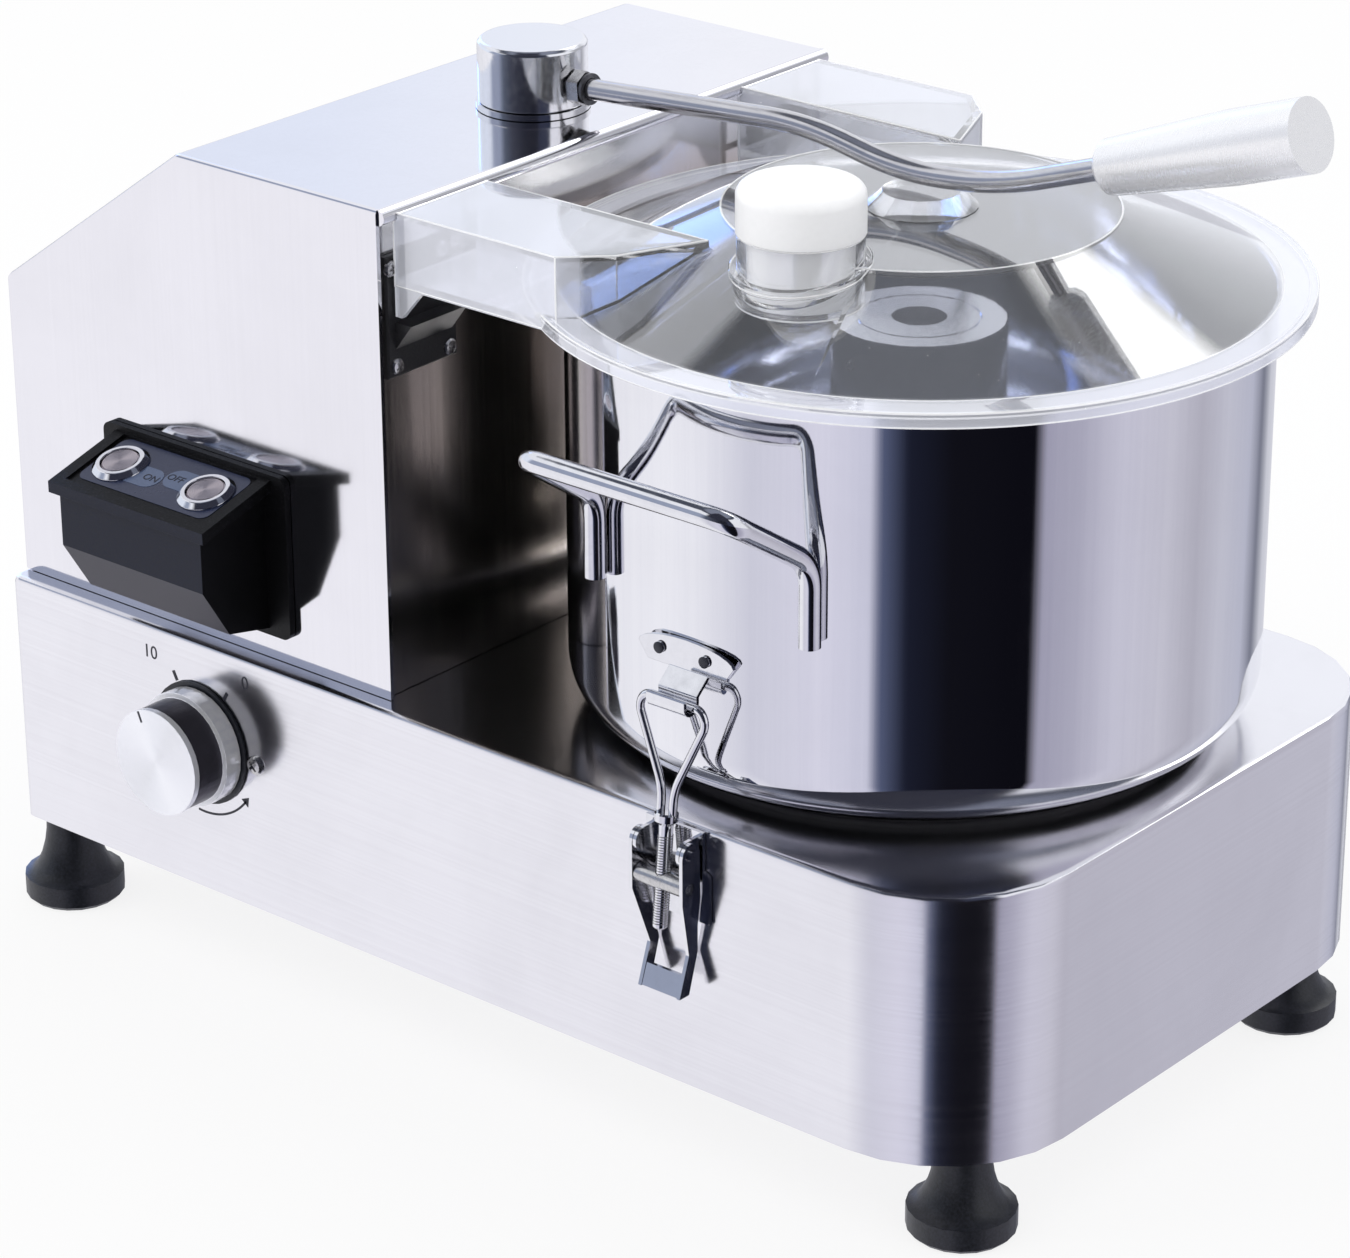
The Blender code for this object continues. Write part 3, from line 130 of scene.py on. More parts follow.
def metal(name, ownLook):
    look = {**metalLook, **ownLook}
    material, tree, shader = newMaterial(name)
    shader.inputs["Metallic"].default_value = look["metallic"]
    grain = noise(tree, coordinates(tree, look["grain"]), 1, detail=6, roughness=0.7)
    marks = noise(tree, coordinates(tree), look["markScale"], detail=5, roughness=0.65,
                  distortion=0.4)
    marked = rescale(tree, marks, *look["markSpan"])
    tone = blendColour(tree, rescale(tree, grain, *look["toneSpan"]), rgb(look["tone"]),
                       rgb(look["grainTone"]))
    tone = blendColour(tree, maths(tree, "MULTIPLY", marked, look["markShare"]), tone,
                       rgb(look["markTone"]))
    if "inside" in look:  # painted shade: inside a round vessel, faces turned inward and up get a darker, bluer tone
        centre, insideShadeTone = look["inside"]
        outward = addNode(tree, "ShaderNodeVectorMath", {0: coordinates(tree, (1, 1, 0), centre)},
                          operation="NORMALIZE").outputs["Vector"]
        normal = addNode(tree, "ShaderNodeTexCoord").outputs["Normal"]
        away = addNode(tree, "ShaderNodeVectorMath", {0: normal, 1: outward},
                       operation="DOT_PRODUCT").outputs["Value"]
        up = addNode(tree, "ShaderNodeSeparateXYZ", {"Vector": normal}).outputs["Z"]
        insideShadeMask = rescale(tree, maths(tree, "SUBTRACT", up, away), *look["insideShadeSpan"])
        tone = blendColour(tree, insideShadeMask, tone, rgb(insideShadeTone))
    if "upper" in look:  # the sheet is paler above a height
        low, high, paler = look["upper"]
        height = addNode(tree, "ShaderNodeSeparateXYZ", {"Vector": coordinates(tree)})
        tone = blendColour(tree, rescale(tree, height.outputs["Z"], low, high), tone,
                           rgb(paler))
    rough = rescale(tree, grain, *look["roughSpan"], look["rough"] - look["roughSpread"],
                    look["rough"] + look["roughSpread"])
    rough = maths(tree, "ADD", rough, maths(tree, "MULTIPLY", marked, look["markRough"]))
    tree.links.new(tone, shader.inputs["Base Color"])
    tree.links.new(rough, shader.inputs["Roughness"])
    normal = bumpFrom(tree, grain, look["grainBump"], look["grainDepth"])
    if "wave" in look:
        sheet = noise(tree, coordinates(tree, look["wave"]), 1, detail=2, roughness=0.5)
        normal = bumpFrom(tree, sheet, look["waveBump"], look["waveDepth"], normal)
    tree.links.new(normal, shader.inputs["Normal"])
    return material


baseSteelLook = {"tone": (0.88, 0.875, 0.895), "grainTone": (0.845, 0.835, 0.86),
                 "grain": (3, 3, 900), "rough": 0.15, "roughSpread": 0.04,
                 "markScale": 9, "markShare": 0.18, "markRough": 0.07, "grainBump": 0.03,
                 "wave": (4, 4, 3), "waveBump": 0.10}
housingSteelLook = {"tone": (0.88, 0.87, 0.895), "grainTone": (0.86, 0.85, 0.875),
                    "grain": (500, 500, 4), "rough": 0.075, "roughSpread": 0.02,
                    "markScale": 7, "markShare": 0.14, "markRough": 0.05, "grainBump": 0.015,
                    "wave": (5, 5, 5), "waveBump": 0.12}
panelSteelLook = {"tone": (0.74, 0.69, 0.62), "grainTone": (0.60, 0.55, 0.49),
                  "grain": (600, 600, 3), "rough": 0.16, "roughSpread": 0.05,
                  "markShare": 0.3, "grainBump": 0.06, "wave": (10, 30, 3), "waveBump": 0.25,
                  "upper": (0.325, 0.350, (0.90, 0.89, 0.90))}
bowlSteelLook = {"tone": (0.86, 0.86, 0.88), "grainTone": (0.82, 0.82, 0.85),
                 # the inside tone below is painted shade, darker and bluer than the outside
                 "inside": ((bowlX, 0, 0), (0.74, 0.76, 0.84)),
                 "grain": (260, 260, 3), "rough": 0.04, "roughSpread": 0.015,
                 "markScale": 20, "markShare": 0.1, "markRough": 0.04, "grainBump": 0.02,
                 "wave": (26, 26, 1.6), "waveBump": 0.09}
chromeLook = {"tone": (0.84, 0.84, 0.86), "grainTone": (0.80, 0.80, 0.82),
              "grain": (300, 300, 300), "rough": 0.07, "roughSpread": 0.03,
              "markScale": 60, "markShare": 0.2, "markRough": 0.10, "grainBump": 0.02,
              "wave": (60, 60, 60), "waveBump": 0.06}
rodSteelLook = {"tone": (0.72, 0.71, 0.72), "grainTone": (0.60, 0.59, 0.60),
                "grain": (20, 900, 900), "rough": 0.17, "roughSpread": 0.05,
                "markScale": 50, "markShare": 0.3, "markRough": 0.1, "grainBump": 0.05}
# painted shade: the spindle is near black, standing for the shade in the hub's hole
spindleShadeLook = {"tone": (0.16, 0.16, 0.17), "grainTone": (0.08, 0.08, 0.09),
               "grain": (400, 400, 400), "rough": 0.35, "roughSpread": 0.1,
               "markScale": 200, "markShare": 0.4, "markRough": 0.1, "grainBump": 0.3}
knifeSteelLook = {"tone": (0.74, 0.74, 0.76), "grainTone": (0.62, 0.62, 0.64),
                  "grain": (30, 700, 700), "rough": 0.16, "roughSpread": 0.05,
                  "markScale": 40, "markShare": 0.25, "markRough": 0.1, "grainBump": 0.06}
gripLook = {"tone": (0.95, 0.95, 0.96), "grainTone": (0.90, 0.90, 0.92), "metallic": 0.4,
            "grain": (1400, 300, 300), "rough": 0.26, "roughSpread": 0.03,
            "markScale": 30, "markShare": 0.10, "markRough": 0.05, "grainBump": 0.012}
castLook = {"tone": (0.58, 0.58, 0.59), "grainTone": (0.46, 0.46, 0.47),
            "grain": (500, 500, 500), "rough": 0.45, "roughSpread": 0.1,
            "markScale": 30, "markShare": 0.3, "grainBump": 0.3}
boltLook = {"tone": (0.70, 0.69, 0.68), "grainTone": (0.55, 0.54, 0.53),
            "grain": (500, 500, 500), "rough": 0.22, "roughSpread": 0.06,
            "markScale": 120, "markShare": 0.4, "markRough": 0.15, "grainBump": 0.05}
steels = {name: metal(name, look) for name, look in (
    ("baseSteel", baseSteelLook), ("housingSteel", housingSteelLook),
    ("panelSteel", panelSteelLook), ("bowlSteel", bowlSteelLook), ("chrome", chromeLook),
    ("rodSteel", rodSteelLook), ("spindleSteel", spindleShadeLook), ("knifeSteel", knifeSteelLook),
    ("gripAluminium", gripLook), ("castAluminium", castLook), ("boltSteel", boltLook))}
print("metals mixed")


# Turned faces: fine rings about the axis of a button, the knob, the lever's cap or the hub

turnedLook = {"metallic": 1, "ringRough": 0.08, "wobbleScale": 400, "wobble": 6}


def turnedMetal(name, ownLook):
    look = {**turnedLook, **ownLook}
    material, tree, shader = newMaterial(name)
    shader.inputs["Metallic"].default_value = look["metallic"]
    place = coordinates(tree, (1, 1, 1), look["centre"], look["turn"])
    parts = addNode(tree, "ShaderNodeSeparateXYZ", {"Vector": place})
    flat = addNode(tree, "ShaderNodeCombineXYZ", {"X": parts.outputs["X"],
                                                  "Y": parts.outputs["Y"]})
    radius = addNode(tree, "ShaderNodeVectorMath", {0: flat.outputs[0]},
                     operation="LENGTH").outputs["Value"]
    wobble = maths(tree, "MULTIPLY", noise(tree, place, look["wobbleScale"], detail=3),
                   look["wobble"])
    rings = maths(tree, "SINE", maths(tree, "ADD", maths(tree, "MULTIPLY", radius,
                                                         2 * math.pi / look["pitch"]), wobble))
    fine = rescale(tree, rings, -1, 1)
    tone = blendColour(tree, fine, rgb(look["tone"]), rgb(look["ringTone"]))
    rough = rescale(tree, fine, 0, 1, look["rough"], look["rough"] + look["ringRough"])
    if "band" in look:  # a darker, rougher band round the side, between two heights
        height = rescale(tree, parts.outputs["Z"], 0, look["height"])
        banded = ramp(tree, height, [(0, (0, 0, 0)), (look["bandFrom"], (1, 1, 1)),
                                     (look["bandTo"], (0, 0, 0))], "CONSTANT")
        tone = blendColour(tree, banded, tone, rgb(look["band"]))
        rough = maths(tree, "ADD", rough, rescale(tree, banded, 0, 1, 0, look["bandRough"]))
    tree.links.new(tone, shader.inputs["Base Color"])
    tree.links.new(rough, shader.inputs["Roughness"])
    tree.links.new(bumpFrom(tree, fine, look["bump"], look["pitch"] / 6), shader.inputs["Normal"])
    return material


# Plastics and rubber

plasticLook = {"markScale": 25, "markShare": 0.2, "roughSpread": 0.06, "toneSpan": (0.35, 0.7),
               "markSpan": (0.58, 0.8), "roughSpan": (0.3, 0.75), "grainDepth": 0.0003,
               "glow": 0.004}


def plastic(name, ownLook):
    look = {**plasticLook, "markTone": ownLook["grainTone"], **ownLook}
    material, tree, shader = newMaterial(name)
    grain = noise(tree, coordinates(tree), look["grain"], detail=3)
    marks = noise(tree, coordinates(tree), look["markScale"], detail=5, roughness=0.7,
                  distortion=0.3)
    tone = blendColour(tree, rescale(tree, grain, *look["toneSpan"]), rgb(look["tone"]),
                       rgb(look["grainTone"]))
    tone = blendColour(tree, rescale(tree, marks, *look["markSpan"], 0, look["markShare"]), tone,
                       rgb(look["markTone"]))
    tree.links.new(tone, shader.inputs["Base Color"])
    tree.links.new(rescale(tree, marks, *look["roughSpan"], look["rough"] - look["roughSpread"],
                           look["rough"] + look["roughSpread"]), shader.inputs["Roughness"])
    tree.links.new(bumpFrom(tree, grain, look["bump"], look["grainDepth"]),
                   shader.inputs["Normal"])
    if "subsurface" in look:
        shader.inputs["Subsurface Weight"].default_value = look["subsurface"]
        shader.inputs["Subsurface Radius"].default_value = (look["glow"],) * 3
        shader.inputs["Subsurface Scale"].default_value = 1
    return material


# painted reflection: the front and chamfer tones stand for reflections on near-black plastic
boxLook = {"side": (0.0008, 0.0008, 0.0012), "front": (0.005, 0.007, 0.019),
           "chamferReflection": (0.042, 0.040, 0.054), "grain": 1700, "rough": 0.46, "bump": 0.3,
           "frontFacing": (-0.75, -0.9), "frontPlace": (-0.155, -0.160),
           "chamferFacing": (-0.2, -0.45), "grainSpan": (0.3, 0.7), "shade": (0.65, 1.35),
           "gloss": 0.3, "wornScale": 900, "wornSpan": (0.56, 0.72), "wornShare": 0.35,
           "wornTone": (0.10, 0.10, 0.12), "lip": (0.222, 0.226), "smoother": 0.06, "rougher": 0.1,
           "grainDepth": 0.0003}
socketLook = {"tone": (0.008, 0.008, 0.010), "grainTone": (0.02, 0.02, 0.022), "grain": 1500,
              "rough": 0.38, "bump": 0.2}
rubberLook = {"tone": (0.006, 0.007, 0.010), "grainTone": (0.016, 0.018, 0.026), "grain": 900,
              "rough": 0.40, "bump": 0.25, "markShare": 0.4, "markTone": (0.05, 0.055, 0.07)}
beltLook = {"tone": (0.010, 0.010, 0.011), "grainTone": (0.03, 0.03, 0.032), "grain": 700,
            "rough": 0.6, "bump": 0.3}
sealLook = {"tone": (0.11, 0.11, 0.12), "grainTone": (0.16, 0.16, 0.17), "grain": 800,
            "rough": 0.55, "bump": 0.2}
pusherLook = {"tone": (0.93, 0.935, 0.955), "grainTone": (0.91, 0.915, 0.935), "grain": 350,
              "rough": 0.38, "bump": 0.03, "markShare": 0.10, "markTone": (0.84, 0.85, 0.88),
              "subsurface": 0.25}
labelLook = {"tone": (0.020, 0.026, 0.060), "grainTone": (0.030, 0.038, 0.080), "grain": 1200,
             "rough": 0.3, "bump": 0.05, "markShare": 0.2}
lozengeLook = {"tone": (0.085, 0.115, 0.20), "grainTone": (0.10, 0.135, 0.23), "grain": 1200,
               "rough": 0.32, "bump": 0.03}
inkLook = {"tone": (0.012, 0.013, 0.022), "grainTone": (0.030, 0.030, 0.045), "grain": 2500,
           "rough": 0.5, "bump": 0.1}
motorLook = {"tone": (0.07, 0.10, 0.15), "grainTone": (0.09, 0.12, 0.17), "grain": 600,
             "rough": 0.45, "bump": 0.2}
boardLook = {"tone": (0.01, 0.10, 0.04), "grainTone": (0.02, 0.16, 0.07), "grain": 300,
             "rough": 0.4, "bump": 0.1}
plastics = {name: plastic(name, look) for name, look in (
    ("socketPlastic", socketLook), ("footRubber", rubberLook),
    ("beltRubber", beltLook), ("sealRubber", sealLook), ("pusherPlastic", pusherLook),
    ("labelPlastic", labelLook), ("lozengePlastic", lozengeLook), ("ink", inkLook),
    ("motorPaint", motorLook), ("boardLacquer", boardLook))}


def mouldedBox(name, look):
    material, tree, shader = newMaterial(name)
    facing = addNode(tree, "ShaderNodeSeparateXYZ",
                     {"Vector": addNode(tree, "ShaderNodeTexCoord").outputs["Normal"]})
    place = addNode(tree, "ShaderNodeSeparateXYZ", {"Vector": coordinates(tree)})
    grain = noise(tree, coordinates(tree), look["grain"], detail=3)
    # painted reflection: front-facing faces get the navy front tone, the rest the near-black side
    # tone
    front = maths(tree, "MULTIPLY", rescale(tree, facing.outputs["Y"], *look["frontFacing"]),
                  rescale(tree, place.outputs["Y"], *look["frontPlace"]))
    tone = blendColour(tree, front, rgb(look["side"]), rgb(look["front"]))
    # painted reflection: faces turned downward get the lighter, brownish chamfer tone
    below = rescale(tree, facing.outputs["Z"], *look["chamferFacing"])
    tone = blendColour(tree, below, tone, rgb(look["chamferReflection"]))
    shade = rescale(tree, grain, *look["grainSpan"], *look["shade"])
    tone = addNode(tree, "ShaderNodeVectorMath", {0: tone, "Scale": shade},
                   operation="SCALE").outputs["Vector"]
    worn = noise(tree, coordinates(tree), look["wornScale"], detail=5, roughness=0.75)
    worn = maths(tree, "MULTIPLY", rescale(tree, worn, *look["wornSpan"]),
                 rescale(tree, place.outputs["Z"], *look["lip"]))
    tone = blendColour(tree, maths(tree, "MULTIPLY", worn, look["wornShare"]), tone,
                       rgb(look["wornTone"]))
    tree.links.new(tone, shader.inputs["Base Color"])
    shader.inputs["Specular IOR Level"].default_value = look["gloss"]
    tree.links.new(rescale(tree, grain, *look["grainSpan"], look["rough"] - look["smoother"],
                           look["rough"] + look["rougher"]), shader.inputs["Roughness"])
    tree.links.new(bumpFrom(tree, grain, look["bump"], look["grainDepth"]),
                   shader.inputs["Normal"])
    return material


boxPlastic = mouldedBox("boxPlastic", boxLook)
clearLook = {"tone": (0.965, 0.975, 1.0), "rough": 0.02, "hazeRough": 0.14, "ior": 1.49,
             "coatIor": 1.85, "throughLamps": 0.96, "axis": (bowlX, 0, 0),
             # the milk values make the rim and the ears' ends milky white: partly frosted plastic,
             # partly painted highlight
             "milkFrom": 0.1405, "milkTo": 0.1425, "milkInside": 0.04, "milkOutside": 0.34,
             "milkTone": (0.90, 0.92, 1.0), "milkSpan": (0.05, 0.3), "endFrom": -0.0490,
             "endTo": -0.0500, "endMilk": 0.75, "hazeScale": 11, "hazeSpan": (0.45, 0.85),
             "speckScale": 620, "speckSpan": (0.10, 0.14), "chosenScale": 160,
             "chosenSpan": (0.64, 0.68), "dustTone": (0.9, 0.9, 0.9), "dustRough": 0.5,
             "bump": 0.05, "bumpDepth": 0.0006}
# painted highlight: the edge beads' milky white stands for light caught along the lid's edges
edgeHighlightLook = {**clearLook, "tone": (1.0, 1.0, 1.0), "milkInside": 0.72, "milkOutside": 0.72,
            "milkTone": (0.98, 0.98, 0.99), "rough": 0.12, "hazeRough": 0.3}
bossLook = {**clearLook, "milkInside": 0.10, "milkOutside": 0.10}


def clearPlastic(name, look):
    material, tree, shader = newMaterial(name)
    shader.inputs["IOR"].default_value = look["ior"]
    shader.inputs["Coat Weight"].default_value = 1
    shader.inputs["Coat IOR"].default_value = look["coatIor"]
    flat = addNode(tree, "ShaderNodeVectorMath", {0: coordinates(tree, (1, 1, 0), look["axis"])},
                   operation="LENGTH").outputs["Value"]
    # partly frosted plastic, partly painted highlight: milky white towards the outer rim and the
    # ears' ends
    milkAndHighlight = rescale(tree, flat, look["milkFrom"], look["milkTo"], look["milkInside"],
                   look["milkOutside"])
    along = addNode(tree, "ShaderNodeSeparateXYZ", {"Vector": coordinates(tree)}).outputs["X"]
    milkAndHighlight = maths(tree, "MAXIMUM", milkAndHighlight, rescale(tree, along, look["endFrom"], look["endTo"],
                                                0, look["endMilk"]))
    tree.links.new(maths(tree, "SUBTRACT", 1, milkAndHighlight), shader.inputs["Transmission Weight"])
    haze = noise(tree, coordinates(tree), look["hazeScale"], detail=6, roughness=0.7,
                 distortion=0.5)
    specks = addNode(tree, "ShaderNodeTexVoronoi", {"Vector": coordinates(tree),
                                                    "Scale": look["speckScale"]})
    dust = rescale(tree, specks.outputs["Distance"], *look["speckSpan"], 1, 0)
    chosen = noise(tree, coordinates(tree), look["chosenScale"], detail=2)
    dust = maths(tree, "MULTIPLY", dust, rescale(tree, chosen, *look["chosenSpan"]))
    tinted = blendColour(tree, rescale(tree, milkAndHighlight, *look["milkSpan"]), rgb(look["tone"]),
                         rgb(look["milkTone"]))
    tree.links.new(blendColour(tree, dust, tinted, rgb(look["dustTone"])),
                   shader.inputs["Base Color"])
    clean = rescale(tree, haze, *look["hazeSpan"], look["rough"], look["hazeRough"])
    tree.links.new(maths(tree, "ADD", clean, maths(tree, "MULTIPLY", dust, look["dustRough"])),
                   shader.inputs["Roughness"])
    tree.links.new(bumpFrom(tree, haze, look["bump"], look["bumpDepth"]),
                   shader.inputs["Normal"])
    lamps = addNode(tree, "ShaderNodeLightPath")
    passing = addNode(tree, "ShaderNodeBsdfTransparent", {"Color": rgb((look["throughLamps"],) * 3)})
    lit = maths(tree, "MAXIMUM", lamps.outputs["Is Shadow Ray"], lamps.outputs["Is Diffuse Ray"])
    mixed = addNode(tree, "ShaderNodeMixShader", {0: lit, 1: shader.outputs[0],
                                                  2: passing.outputs[0]})
    tree.links.new(mixed.outputs[0], tree.nodes["Material Output"].inputs["Surface"])
    return material


lidClear = clearPlastic("lidClear", clearLook)
lidEdgeHighlight = clearPlastic("lidEdgeHighlight", edgeHighlightLook)
bossClear = clearPlastic("bossClear", bossLook)
print("plastics mixed")


# Dressed nodes: the solid's own shape, merged, with smooth shading and a finish

def smoothed(mesh, crease):
    for polygon in mesh.polygons:
        polygon.use_smooth = True
    shape = bmesh.new()
    shape.from_mesh(mesh)
    for edge in shape.edges:
        edge.smooth = len(edge.link_faces) == 2 and edge.calc_face_angle(0) < math.radians(crease)
    shape.to_mesh(mesh)
    shape.free()


def addPiece(name, shape, material, body, crease=32, weighted=True):
    mesh = bpy.data.meshes.new(name)
    shape.to_mesh(mesh)
    shape.free()
    mesh.materials.append(material)
    smoothed(mesh, crease)
    piece = bpy.data.objects.new(name, mesh)
    bpy.context.scene.collection.objects.link(piece)
    if weighted:
        flat = piece.modifiers.new("even shading", "WEIGHTED_NORMAL")
        flat.keep_sharp = True
    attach(piece, body)
    return piece


bodyOf = {node: body for body, members in frame["record"]["behaviour"]["bodies"].items()
          for node in members}


def dressNode(node, crease, edge):
    shape = bmesh.new()
    shape.from_mesh(nodes[node].data)
    bmesh.ops.remove_doubles(shape, verts=shape.verts, dist=flush)
    bmesh.ops.dissolve_limit(shape, angle_limit=evenAngle, verts=shape.verts,
                             edges=shape.edges)
    piece = addPiece(node + "_skin", shape, finishOf[node], bodyOf[node], crease)
    if edge:
        rounding = piece.modifiers.new("edge", "BEVEL")
        rounding.width = edge
        rounding.segments = 2
        rounding.limit_method = "ANGLE"
        rounding.angle_limit = math.radians(crease)
        rounding.use_clamp_overlap = True
        piece.modifiers.move(1, 0)
    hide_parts(node)


def bothSides(*names):
    return [name + side for name in names for side in ("_near", "_far")]


tilt = math.atan2(0.0107, 0.040)  # rise and run of the sloping tray
knobAxis = (-0.15555, -0.149, 0.109)
knobLook = {"centre": knobAxis, "turn": (-math.pi / 2, 0, 0), "pitch": 0.00042,
            "tone": (0.97, 0.97, 1.0), "ringTone": (0.88, 0.89, 0.94), "rough": 0.17,
            "metallic": 0.6, "bump": 0.75, "height": 0.03, "band": (0.055, 0.052, 0.066),
            "bandFrom": 0.34, "bandTo": 0.80, "bandRough": 0.12}
buttonLook = {"turn": (-tilt, 0, 0), "pitch": 0.0007, "tone": (0.60, 0.54, 0.55),
              "ringTone": (0.42, 0.37, 0.39), "rough": 0.22, "bump": 0.6}
capLook = {"centre": (-0.09455, 0, 0.38), "turn": (0, 0, 0), "pitch": 0.0009,
           "tone": (0.87, 0.87, 0.89), "ringTone": (0.83, 0.83, 0.85), "rough": 0.09, "bump": 0.03}
hubLook = {"centre": (bowlX, 0, 0.3), "turn": (0, 0, 0), "pitch": 0.0008,
           "tone": (0.97, 0.97, 0.98), "ringTone": (0.90, 0.90, 0.92), "rough": 0.11,
           "bump": 0.08}
turned = {name: turnedMetal(name, look) for name, look in (
    ("hubMetal", hubLook), ("knobMetal", knobLook), ("capMetal", capLook),
    ("startMetal", {**buttonLook, "centre": (-0.183252, -0.16, 0.2312)}),
    ("stopMetal", {**buttonLook, "centre": (-0.133252, -0.16, 0.2312)}))}

finishOf = {}
for material, members in (
        (steels["baseSteel"], ["base_shell", "base_plate"]),
        (steels["housingSteel"], ["housing_shell", "motor_bracket"]),
        (steels["panelSteel"], ["housing_front_panel"]),
        (steels["bowlSteel"], ["bowl"]),
        (steels["chrome"], bothSides("bowl_handle", "catch_plate", "latch_bracket", "latch_lever",
                                     "latch_loop")),
        (steels["chrome"], ["lever_bush", "start_bezel", "stop_bezel", "lower_bearing",
                            "upper_bearing"]),
        (steels["boltSteel"], ["lever_nut", *bothSides("latch_trunnion")]),
        (steels["rodSteel"], ["lever_rod", "lever_post", "motor_shaft", "potentiometer_shaft"]),
        (steels["gripAluminium"], ["lever_grip"]),
        (steels["knifeSteel"], ["knife_lower", "knife_upper"]),
        (steels["spindleSteel"], ["spindle"]),
        (steels["castAluminium"], ["bearing_housing", "driven_pulley", "motor_pulley"]),
        (turned["capMetal"], ["lever_cap"]), (turned["knobMetal"], ["speed_knob"]),
        (turned["startMetal"], ["start_button"]), (turned["stopMetal"], ["stop_button"]),
        (turned["hubMetal"], ["knife_hub", "knife_spacer"]),
        (lidClear, ["lid"]), (bossClear, ["lid_boss"]), (boxPlastic, ["control_box"]),
        (plastics["pusherPlastic"], ["pusher"]),
        (plastics["socketPlastic"], ["start_contact_block", "stop_contact_block", "potentiometer",
                                     "cable_gland", *bothSides("lid_socket")]),
        (plastics["footRubber"], ["knob_seal", *bothSides("foot_rear", "foot_front")]),
        (plastics["beltRubber"], ["drive_belt"]), (plastics["sealRubber"], ["bowl_seat_ring"]),
        (plastics["motorPaint"], ["motor"]), (plastics["boardLacquer"], ["control_board"])):
    finishOf.update(dict.fromkeys(members, material))
edgeOf = {"control_box": 0.0006, "speed_knob": 0.0006, "lever_cap": 0.0005, "lever_nut": 0.0003,
          "start_bezel": 0.0002, "stop_bezel": 0.0002, "catch_plate_near": 0.0003,
          "catch_plate_far": 0.0003}
creaseOf = {"control_box": 14}
rebuilt = {"bowl", "lid", "lever_rod", *bothSides("bowl_handle", "latch_loop")}  # shaped below
for node in sorted(set(nodes) - rebuilt):
    dressNode(node, creaseOf.get(node, 32), edgeOf.get(node, 0))
print("nodes dressed")


# Small pieces

def turnedShape(outline, steps, at=(0, 0, 0), turn=(0, 0, 0)):
    shape = bmesh.new()
    verts = [shape.verts.new((radius, 0, height)) for radius, height in outline]
    edges = [shape.edges.new(pair) for pair in zip(verts, verts[1:])]
    bmesh.ops.spin(shape, geom=verts + edges, cent=(0, 0, 0), axis=(0, 0, 1),
                   angle=2 * math.pi, steps=steps, use_merge=True)
    bmesh.ops.remove_doubles(shape, verts=shape.verts, dist=weld)
    bmesh.ops.recalc_face_normals(shape, faces=shape.faces)
    shape.transform(Matrix.Translation(at) @ Euler(turn).to_matrix().to_4x4())
    return shape


def gather(shapes):
    whole = bmesh.new()
    for shape in shapes:
        part = bpy.data.meshes.new("part")
        shape.to_mesh(part)
        shape.free()
        whole.from_mesh(part)
        bpy.data.meshes.remove(part)
    return whole


def flatBar(width, length, depth):
    shape = bmesh.new()
    bmesh.ops.create_cube(shape, size=1)
    bmesh.ops.scale(shape, verts=shape.verts, vec=(width, length, depth))
    return shape


def evaluated(host):
    bpy.context.view_layer.update()
    shape = bmesh.new()
    finished = host.evaluated_get(bpy.context.evaluated_depsgraph_get())
    shape.from_mesh(finished.to_mesh())
    finished.to_mesh_clear()
    return shape


def helperObject(shape):
    mesh = bpy.data.meshes.new("helper")
    shape.to_mesh(mesh)
    shape.free()
    helper = bpy.data.objects.new("helper", mesh)
    bpy.context.scene.collection.objects.link(helper)
    return helper


def carved(shape, jobs):  # each job is an operation and the shape that it cuts or joins
    host = helperObject(shape)
    helpers = [host]
    for operation, tool in jobs:
        modifier = host.modifiers.new("job", "BOOLEAN")
        modifier.operation = operation
        modifier.solver = "EXACT"
        modifier.object = helperObject(tool)
        helpers.append(modifier.object)
    made = evaluated(host)
    for helper in helpers:
        bpy.data.objects.remove(helper)
    return made


def crossScrew(look, at, turn):
    head, rise = look["head"], look["rise"]
    shape = turnedShape([(0, -rise * 0.2), (head, -rise * 0.2), (head, rise * 0.35),
                         (head * 0.8, rise * 0.8), (head * 0.4, rise), (0, rise)],
                        look["steps"])
    slots = []
    for angle in (0, math.pi / 2):
        slot = flatBar(head * 1.15, head * 0.26, rise * 1.1)
        slot.transform(Matrix.Translation((0, 0, rise * 0.95))
                       @ Matrix.Rotation(angle + look["spin"], 4, "Z"))
        slots.append(("DIFFERENCE", slot))
    screw = carved(shape, slots)
    screw.transform(Matrix.Translation(at) @ Euler(turn).to_matrix().to_4x4())
    return screw


def slab(outline, low, high, upright=False):  # an outline in XY, or in XZ when upright
    shape = bmesh.new()
    corners = [(u, low, v) if upright else (u, v, low) for u, v in outline]
    face = shape.faces.new([shape.verts.new(corner) for corner in corners])
    made = bmesh.ops.extrude_face_region(shape, geom=[face])["geom"]
    push = (0, high - low, 0) if upright else (0, 0, high - low)
    bmesh.ops.translate(shape, verts=[item for item in made if isinstance(item, bmesh.types.BMVert)],
                        vec=push)
    bmesh.ops.recalc_face_normals(shape, faces=shape.faces)
    return shape


def arcPoints(centre, radius, first, last, steps):
    angles = [math.radians(first + (last - first) * step / steps) for step in range(steps + 1)]
    return [(centre[0] + radius * math.cos(a), centre[1] + radius * math.sin(a)) for a in angles]


